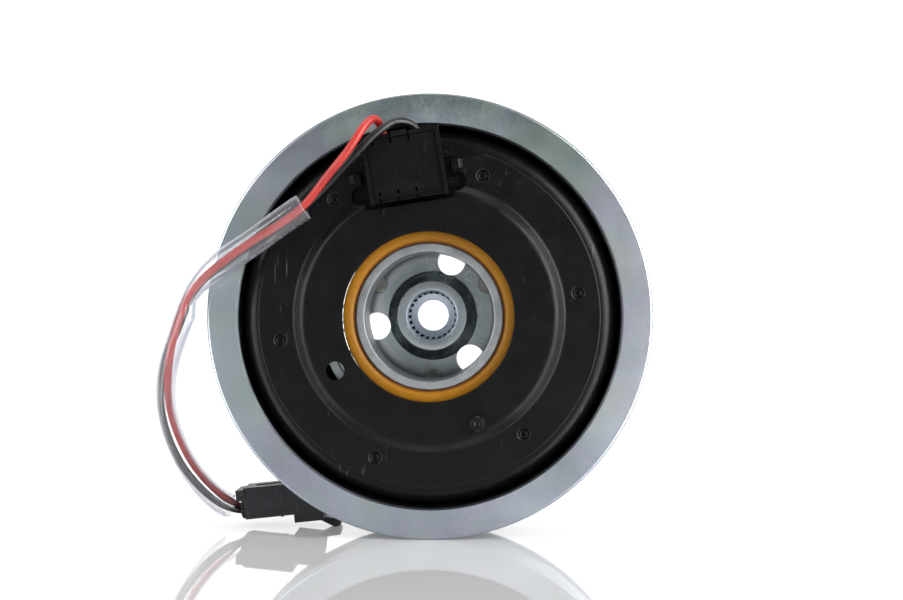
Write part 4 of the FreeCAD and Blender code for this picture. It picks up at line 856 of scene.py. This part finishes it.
def hub():
    """Splined boss and flange, with a shallow turned step in the flange's rear."""
    boss, flange, nose = 10.1, reach("hub"), 11.0
    y = FLANGE_REAR
    part = lathe("splined_hub", rounded([
        (7.3, HUB_END, 0.12), (9.75, HUB_END, 0.1), (boss, HUB_END + 0.4, 0.1), (boss, y - 2.9, 0.6),
        (12.8, y, 0.25), (14.4, y), (15.6, y + 0.06), (flange, y + 0.06, 0.3), (flange, LEAF_REAR, 0.2),
        (nose, LEAF_REAR, 0.3), (nose, front("hub"), 0.4), (8.6, front("hub"), 0.25), (8.6, 39.9, 0.3),
        (4.45, 39.9, 0.3), (4.45, 36.2, 0.35), (6.35, 36.2, 0.1), (6.35, HUB_END + 0.8, 0.1),
    ]), 288)
    spaces = []
    for i in range(24):
        flanks = [(5.8, -0.54), (6.35, -0.52), (6.85, -0.40), (6.85, 0.40), (6.35, 0.52), (5.8, 0.54)]
        spaces.append(turned(extrude("space", flanks, HUB_END - 1, 36.0), 15 * i + 3))
    mark = lathe("mark", [(1.05, y - 0.2), (1.5, y - 0.2), (1.5, y + 0.22), (1.3, y + 0.26), (1.1, y + 0.22)],
                 48, polar(15.4, 46.6))
    combine(part, [join(spaces), holes(PULLERS, PULLER_R, y - 1, LEAF_REAR + 1),
                   holes(RIVETS, 2.55, y - 1, LEAF_REAR + 1)])
    combine(part, [holes(RIVETS, 2.72, y - 1, y + 0.5), mark])
    soften(part, 0.12, 60)
    put(part, MATERIALS["hub_steel"], "hub", "hub")


def riveted(name, centres, corners, steps=48):
    """A ring of like fasteners turned about lines along Y."""
    return join([lathe(name, rounded(corners), steps, c) for c in centres])


def fasteners():
    y = rear("hub_rivets")
    heads = riveted("hub_rivet_set", RIVETS, [
        (0, y + 0.30), (1.5, y + 0.22, 0.4), (2.15, y + 0.12, 0.3), (2.53, y + 0.42, 0.2), (2.53, STOP_FRONT),
        (4.2, STOP_FRONT, 0.2), (3.9, STOP_FRONT + 0.9, 0.7), (2.2, STOP_FRONT + 1.5, 1.0),
        (0, STOP_FRONT + 1.5),
    ])
    put(heads, MATERIALS["rivet_steel"], "hub", "hub_rivets")
    seat = LEAF_FRONT + 0.03
    tips = riveted("armature_rivet_set", TIPS, [
        (0, rear("armature_rivets")), (2.18, rear("armature_rivets"), 0.3), (2.18, seat), (3.9, seat, 0.15),
        (3.6, seat + 0.87, 0.5), (1.95, seat + 1.27, 0.8), (0, seat + 1.27),
    ])
    put(tips, MATERIALS["rivet_steel"], "armature", "armature_rivets")
    foot = rear("rubber_stops")
    stops = riveted("rubber_stop_set", STOPS, [
        (0, foot), (6.0, foot, 0.3), (6.0, LEAF_FRONT, 0.3), (4.38, LEAF_FRONT, 0.1), (4.38, STOP_FRONT, 0.1),
        (5.7, STOP_FRONT, 0.3), (5.0, STOP_FRONT + 1.6, 0.6), (3.4, STOP_FRONT + 2.2, 0.8),
        (0, STOP_FRONT + 2.2),
    ])
    put(stops, MATERIALS["stop_rubber"], "hub", "rubber_stops")


def leaf(index):
    """One pack of two leaves from a hub rivet to an armature rivet."""
    near, far, half = Vector(RIVETS[index]), Vector(TIPS[index]), 5.5
    along = (far - near).normalized()
    across = Vector((-along.y, along.x))
    length = (far - near).length
    places = [-half * math.cos(math.radians(a)) for a in range(6, 90, 12)]
    places = places + [length * i / 24 for i in range(25)] + [length - p for p in reversed(places)]
    layers = []
    for low, high in ((LEAF_REAR, LEAF_REAR + 0.53), (LEAF_REAR + 0.57, LEAF_FRONT)):
        points, faces = [], []
        for s in places:
            past = max(-s, s - length, 0)
            width = math.sqrt(half * half - past * past)
            for side in (-1, -0.5, 0, 0.5, 1):
                spot = near + along * s + across * width * side
                points += [(spot.x, low, spot.y), (spot.x, high, spot.y)]
        rows = len(places)
        for i in range(rows - 1):
            for j in range(4):
                a, b = 10 * i + 2 * j, 10 * (i + 1) + 2 * j
                faces += [[a, a + 2, b + 2, b], [a + 1, b + 1, b + 3, a + 3]]
            a, b = 10 * i, 10 * (i + 1)
            faces += [[a, b, b + 1, a + 1], [a + 8, a + 9, b + 9, b + 8]]
        for a in (0, 10 * (rows - 1)):
            faces += [[a + 2 * j, a + 2 * j + 1, a + 2 * j + 3, a + 2 * j + 2] for j in range(4)]
        layer = make_mesh(f"leaf_pack_{index + 1}", points, faces)
        combine(layer, [holes([near], 2.6, low - 1, high + 1), holes([far], 2.25, low - 1, high + 1)])
        layers.append(layer)
    pack = join(layers)
    pack.data.shade_smooth()
    pack.data.set_sharp_from_angle(angle=math.radians(30))
    pack.data.materials.clear()
    pack.data.materials.append(MATERIALS["spring_steel"])
    pack.name = f"leaf_pack_{index + 1}"
    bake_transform(pack)
    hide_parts("leaf_springs")


def stop_plate():
    """The plate over the leaves, with an arm out to each rubber stop."""
    plate = extrude("three_arm_stop_plate", disc((0, 0), reach("hub"), 2.5), LEAF_FRONT, STOP_FRONT)
    arms = [extrude("arm", strap_outline((0, 0), end, 8.4), LEAF_FRONT, STOP_FRONT) for end in STOPS]
    combine(plate, arms, "UNION")
    low, high = LEAF_FRONT - 1, STOP_FRONT + 1
    combine(plate, [holes([(0, 0)], 11.4, low, high), holes(PULLERS, PULLER_R, low, high),
                    holes(RIVETS, 2.6, low, high), holes(STOPS, 4.45, low, high)])
    soften(plate, 0.22)
    put(plate, MATERIALS["spring_steel"], "hub", "stop_plate")


def armature():
    back, end, outer, bore = rear("armature_plate"), front("armature_plate"), reach("armature_plate"), 30.5
    ring = lathe("armature_disc", rounded([
        (bore, back, 0.15), (outer, back, 0.15), (outer, end, 0.5), (bore, end, 0.5)]), 288)
    slots = [extrude("slot", arc_slot_outline(41.1, 2.4, a, 84), back - 1, end + 1) for a in thirds(38)]
    combine(ring, [join(slots), holes(TIPS, 2.25, back - 1, end + 1)])
    soften(ring, 0.2, 60)
    put(ring, MATERIALS["armature_steel"], "armature", "armature_plate")


# --- harness ----------------------------------------------------------------------------
def spline(points, start, end, count):
    """Samples of a smooth curve through points, leaving and arriving in given directions."""
    p = np.array([tuple(v) for v in points], float)
    gap = np.linalg.norm(np.diff(p, axis=0), axis=1)
    n = len(p)
    left, right = np.zeros((n, n)), np.zeros((n, 3))
    left[0, 0] = left[-1, -1] = 1
    right[0], right[-1] = Vector(start).normalized(), Vector(end).normalized()
    for i in range(1, n - 1):
        left[i, i - 1:i + 2] = gap[i], 2 * (gap[i - 1] + gap[i]), gap[i - 1]
        right[i] = 3 * (gap[i] / gap[i - 1] * (p[i] - p[i - 1]) + gap[i - 1] / gap[i] * (p[i + 1] - p[i]))
    slope = np.linalg.solve(left, right)
    ends = np.concatenate([[0], np.cumsum(gap)])
    along = np.linspace(0, ends[-1], count)
    i = np.clip(np.searchsorted(ends, along, side="right") - 1, 0, n - 2)
    u, h = ((along - ends[i]) / gap[i])[:, None], gap[i][:, None]
    return ((2 * u**3 - 3 * u**2 + 1) * p[i] + (u**3 - 2 * u**2 + u) * h * slope[i]
            + (3 * u**2 - 2 * u**3) * p[i + 1] + (u**3 - u**2) * h * slope[i + 1])


def section_axes(path):
    """For each sample of a path, its direction and the two axes across it: beside and in depth."""
    ahead = np.gradient(path, axis=0)
    ahead /= np.linalg.norm(ahead, axis=1)[:, None]
    beside = np.cross(ahead, (0.0, 1.0, 0.0))
    beside /= np.linalg.norm(beside, axis=1)[:, None]
    return ahead, beside, np.cross(beside, ahead)


def sweep(path, section, steps):
    """A skin along a path. section(share, angle) gives the offsets beside, in depth and ahead."""
    ahead, beside, depth = section_axes(path)
    rings = []
    for i, middle in enumerate(path):
        share = i / (len(path) - 1)
        for j in range(steps):
            a, b, c = section(share, 2 * math.pi * j / steps)
            rings.append(middle + beside[i] * a + depth[i] * b + ahead[i] * c)
    faces = []
    for first in range(0, (len(path) - 1) * steps, steps):
        for j in range(steps):
            n = (j + 1) % steps
            faces.append([first + j, first + n, first + n + steps, first + j + steps])
    return rings, faces


def twisted_route(side):
    """The middle of one lead in the sleeve: behind each other at first, then turning past."""
    places = []
    for i, (x, y, z) in enumerate(SLEEVE_ROUTE):
        back = Vector(SLEEVE_ROUTE[max(i - 1, 0)])
        ahead = Vector(SLEEVE_ROUTE[min(i + 1, len(SLEEVE_ROUTE) - 1)])
        inward = (ahead - back).cross(Vector((0, -1, 0))).normalized()
        turn = math.radians(float(np.interp(i, (4, 6, 10), (0, 72, 150))))
        apart = Vector((0, math.cos(turn), 0)) + inward * math.sin(turn)
        places.append(Vector((x, y, z)) + side * LEAD_SPREAD * apart)
    return places


def lead(name, side, loop, node):
    """One insulated lead, from the terminal box through its loop and the sleeve to the plug."""
    turn = Matrix.Rotation(-math.radians(COIL_TURN), 3, "Y")
    points = [turn @ Vector((side * LEAD_X, LEAD_Y, z)) for z in LEAD_RISES] + loop
    points += twisted_route(side)
    points += [PLUG @ Vector((u, -side * PLUG_LEAD_GAP / 2, PLUG_LEAD_RISE)) for u in LEAD_ENTRIES]
    path = spline(points, turn @ Vector((0, 0, 1)), PLUG.to_3x3() @ Vector((1, 0, 0)), 520)
    steps = 28
    rings, faces = sweep(path, lambda s, a: (LEAD_R * math.cos(a), LEAD_R * math.sin(a), 0), steps)
    last = len(rings)
    faces += [list(range(steps)), list(range(last - steps, last))]
    put(make_mesh(name, rings, faces), MATERIALS[SLOT_OF[node]], "stator", node, sharp=60)


# How the sleeve is squeezed: share of its length, half width beside the leads and how far its
# middle lies to the inner side of the leads.
SQUEEZE = [
    (0.0, 3.62, 0.0), (0.23, 3.6, 0.0), (0.28, 3.2, 0.1), (0.33, 2.35, 0.1), (0.37, 1.95, 0.2),
    (0.41, 2.7, 1.0), (0.47, 2.6, 0.85), (0.55, 2.7, 0.8), (0.68, 2.5, 0.4), (0.80, 2.8, 0.2),
    (0.92, 3.1, -0.3), (1.0, 3.4, -0.4),
]
FULL_R = 3.62


def sleeve_section(share, angle, inset):
    """Half width and half depth of the squeezed tube, with creases at its kink and a torn end."""
    shares, halves, shifts = zip(*SQUEEZE)
    half, shift = float(np.interp(share, shares, halves)), float(np.interp(share, shares, shifts))
    deep = min(FULL_R * (1 + 0.75 * (1 - half / FULL_R)), 4.6)
    kink = math.exp(-((share - 0.40) / 0.045) ** 2) + 0.6 * math.exp(-((share - 0.62) / 0.06) ** 2)
    crease = 1 + 0.04 * kink * math.sin(3 * angle + 9 * share)
    torn = max(0.0, (share - 0.985) / 0.015)
    ragged = torn * (1.3 * abs(math.sin(2.5 * angle + 0.6)) + 0.9 * abs(math.sin(6.5 * angle)) - 0.4)
    beside = shift + (half * crease - inset) * math.cos(angle)
    return beside, (deep * crease - inset) * math.sin(angle), ragged


def clear_sleeve():
    path = spline(SLEEVE_ROUTE, SLEEVE_START, SLEEVE_END, 300)
    steps, wall = 64, 0.3
    outside, skin = sweep(path, lambda s, a: sleeve_section(s, a, 0.0), steps)
    inside, _ = sweep(path, lambda s, a: sleeve_section(s, a, wall), steps)
    count = len(outside)
    faces = skin + [[v + count for v in reversed(face)] for face in skin]
    for first in (0, count - steps):
        for j in range(steps):
            n = (j + 1) % steps
            faces.append([first + j, first + n, first + n + count, first + j + count])
    tube = make_mesh("clear_tube", outside + inside, faces)
    put(tube, MATERIALS["clear_pvc"], "stator", "clear_sleeve", sharp=80)


def connector():
    """Two-way plug drawn along +X from its lead end, then put where the frame has it."""
    half, tall, body = 5.8, 8.8, 14.2
    shell = extrude("plug_shell", rounded([
        (-half, 0, 0.25), (half, 0, 0.25), (half, tall, 0.3), (-half + 0.6, tall, 0.25), (-half, 4.7, 0.3)]),
        0, body, "X")
    parts = [
        extrude("collar", box_outline(-half + 0.8, half - 0.8, 5.2, tall - 0.5, 0.2), -2.3, 0.4, "X"),
        extrude("guide", box_outline(-half + 0.8, half - 0.8, 0.3, 5.3, 0.3), -0.9, 0.4, "X"),
        extrude("socket", box_outline(-half, half, -2.35, 6.2, 0.5), body - 0.5, 22.0, "X"),
        extrude("tongue", rounded([
            (19.4, -1.85, 0.3), (20.9, -2.75, 0.6), (24.5, -4.95, 0.3), (26.3, -4.65, 0.3),
            (26.3, -2.95, 0.3), (22.0, -1.85, 0.3)]), -3, 3),
        extrude("comb", box_outline(-half + 0.15, -half + 1.38, 6.53, 8.07, 0.1), -1.55, 0.45, "X"),
        extrude("rib", box_outline(-half - 0.18, -half + 0.5, 1.2, 1.9, 0.1), 1.2, body - 1.2, "X"),
    ]
    rake = [(-half + 1.6, 0.8), (-half + 1.6, 4.9), (-half + 0.8, 4.9)]
    for i in range(4):
        top, low = 4.7 - 0.95 * i, 4.25 - 0.95 * i
        rake += [(-half + 0.8, top), (-half + 0.15, top), (-half + 0.15, low), (-half + 0.8, low)]
    parts.append(extrude("rake", rake + [(-half + 0.8, 0.8)], -1.1, 0.33, "X"))
    for tool in [shell] + parts:
        soften(tool, 0.12)
    combine(shell, parts, "UNION")
    bump = soften(extrude("bump", arc((10.2, 0.25), 0.75, 180, 360, 15), -4, 4), 0.05)
    combine(shell, [bump], "UNION")
    cuts = [extrude("cavity", box_outline(-half + 1, half - 1, -1.35, 2.2, 0.3), 13.0, 23.0, "X"),
            extrude("pocket", box_outline(-half + 1.5, half - 1.5, 6.1, 7.7, 0.2), -3, -0.6, "X"),
            extrude("top_slot", box_outline(3.0, 11.0, -1.6, 1.6, 0.4), tall - 0.5, tall + 1, "Z"),
            extrude("parting", box_outline(4.6, 5.0, -half - 1, -half + 0.12, 0.05), 2.6, 4.2, "Z")]
    for side in (-1, 1):
        middle = (side * PLUG_LEAD_GAP / 2, PLUG_LEAD_RISE)
        cuts.append(extrude("bore", disc(middle, LEAD_R + 0.6, 10), -3, 13.2, "X"))
    combine(shell, cuts)
    shell.data.transform(scaled(PLUG))
    put(shell, MATERIALS["connector_nylon"], "stator", "connector_housing")
    blades, seals = [], []
    for side in (-1, 1):
        middle = side * PLUG_LEAD_GAP / 2
        outline = rounded([(8.0, middle - 1), (18.6, middle - 1, 0.2), (19.5, middle - 0.45, 0.2),
                           (19.5, middle + 0.45, 0.2), (18.6, middle + 1, 0.2), (8.0, middle + 1)])
        blade = extrude("contact_blades", outline, PLUG_LEAD_RISE - 1.1, PLUG_LEAD_RISE - 0.3, "Z")
        blades.append(soften(blade, 0.15))
        ribs = [(LEAD_R + 0.1, 3.0), (1.62, 3.05), (1.74, 3.4), (1.6, 3.8), (1.74, 4.3), (1.6, 4.8),
                (1.74, 5.3), (1.6, 5.8), (1.74, 6.2), (1.6, 6.5), (LEAD_R + 0.1, 6.5)]
        seal = lathe("wire_seals", ribs, 40)
        spot = Matrix.Translation(Vector((0, middle, PLUG_LEAD_RISE)) * MM)
        seal.data.transform(spot @ Matrix.Rotation(-math.pi / 2, 4, "Z"))
        seals.append(seal)
    for pieces, node in ((blades, "connector_contacts"), (seals, "connector_seals")):
        piece = join(pieces)
        piece.data.transform(scaled(PLUG))
        put(piece, MATERIALS[SLOT_OF[node]], "stator", node)


def scaled(matrix):
    """A placement in millimetres as one in metres."""
    return Matrix.Translation(matrix.to_translation() * MM) @ matrix.to_3x3().to_4x4()


# --- the pieces that stay as the frame has them -----------------------------------------
def dress_frame_nodes():
    """Hidden pieces keep their frame meshes and take finished materials."""
    for node in ("coil_bobbin", "coil_winding", "coil_potting", "coil_terminals", "bearing_balls_rear",
                 "bearing_balls_front", "bearing_cage_rear", "bearing_cage_front"):
        obj = frame["nodes"][node]
        obj.data.materials.clear()
        obj.data.materials.append(MATERIALS[SLOT_OF[node]])


# --- stage ------------------------------------------------------------------------------
FLOOR_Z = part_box("pulley_rotor")[0].z
TABLE_MIRROR = 0.5


def plain_emitter(name, strength):
    s = Shader(name)
    return s.finish(s.node("Emission", {"Color": (1, 1, 1, 1), "Strength": strength}))


def table_top():
    """A glossy white table: half its light is a mirror image, softened a little."""
    s = Shader("white_acrylic")
    normal = s.bump(s.noise(40, 2), 0.02)
    matt = s.node("BsdfDiffuse", {"Color": (0.70, 0.70, 0.69, 1), "Normal": normal})
    glow = s.node("Emission", {"Color": (1, 1, 1, 1), "Strength": 0.20})
    mirror = s.node("BsdfGlossy", {"Color": (1, 1, 1, 1), "Roughness": 0.035, "Normal": normal})
    lit = s.node("AddShader", {0: matt, 1: glow})
    return s.finish(s.node("MixShader", {0: TABLE_MIRROR, 1: lit, 2: mirror}))


def sheet(name, corners, material):
    mesh = bpy.data.meshes.new(name)
    mesh.from_pydata(corners, [], [list(range(len(corners)))])
    mesh.materials.append(material)
    obj = bpy.data.objects.new(name, mesh)
    bpy.context.scene.collection.objects.link(obj)
    return obj


def softbox(name, place, target, width, height, power):
    light = bpy.data.lights.new(name, "AREA")
    light.shape = "RECTANGLE"
    light.size, light.size_y, light.energy = width, height, power
    obj = bpy.data.objects.new(name, light)
    obj.location = place
    obj.rotation_euler = (Vector(target) - Vector(place)).to_track_quat("-Z", "Y").to_euler()
    obj.visible_camera = False
    bpy.context.scene.collection.objects.link(obj)


def floor_and_backdrop():
    near, far, side = -1.2, 0.102, 1.2
    sheet("table", [(-side, near, FLOOR_Z), (side, near, FLOOR_Z), (side, far, FLOOR_Z),
                    (-side, far, FLOOR_Z)], table_top())
    sheet("backdrop", [(-1.6, 1.0, -1.2), (1.6, 1.0, -1.2), (1.6, 1.0, 1.6), (-1.6, 1.0, 1.6)],
          plain_emitter("lit_backdrop", 1.25))


def studio_world():
    """White where the camera looks straight at it, and a dim even light for everything else."""
    world = bpy.data.worlds.new("studio")
    bpy.context.scene.world = world
    world.use_nodes = True
    tree = world.node_tree
    tree.nodes.clear()
    rays = tree.nodes.new("ShaderNodeLightPath")
    bright = tree.nodes.new("ShaderNodeBackground")
    dim = tree.nodes.new("ShaderNodeBackground")
    both = tree.nodes.new("ShaderNodeMixShader")
    output = tree.nodes.new("ShaderNodeOutputWorld")
    bright.inputs["Color"].default_value = (1, 1, 1, 1)
    dim.inputs["Color"].default_value = (0.21, 0.22, 0.235, 1)
    tree.links.new(rays.outputs["Is Camera Ray"], both.inputs[0])
    tree.links.new(dim.outputs[0], both.inputs[1])
    tree.links.new(bright.outputs[0], both.inputs[2])
    tree.links.new(both.outputs[0], output.inputs[0])


def view_camera():
    """Level with the clutch's axis and square to its coil, a little to the right."""
    camera = bpy.data.cameras.new("camera")
    camera.lens, camera.sensor_width = 55, 36
    eye = bpy.data.objects.new("camera", camera)
    eye.location = (0.0134, -0.366, 0.00445)
    eye.rotation_euler = (math.pi / 2, 0, math.radians(1.15))
    bpy.context.scene.collection.objects.link(eye)
    bpy.context.scene.camera = eye
    bpy.context.scene.view_settings.view_transform = "Standard"


def stage():
    floor_and_backdrop()
    softbox("softbox_right", (0.62, -0.42, 0.12), (0.02, 0, 0), 0.5, 0.9, 11.5)
    softbox("softbox_left", (-0.66, -0.40, 0.10), (-0.02, 0, 0), 0.5, 0.9, 6.5)
    softbox("softbox_top", (0.0, -0.10, 0.85), (0, 0, 0), 0.9, 0.5, 3.0)
    studio_world()
    view_camera()


# --- build ------------------------------------------------------------------------------
mounting_plate()
locating_pin()
coil_housing()
terminal_box()
terminal_lid()
pulley()
bearing()
hub()
fasteners()
for number in range(3):
    leaf(number)
stop_plate()
armature()
lead("red_lead", -1, RED_LOOP, "lead_red")
lead("black_lead", 1, BLACK_LOOP, "lead_black")
clear_sleeve()
connector()
dress_frame_nodes()
stage()
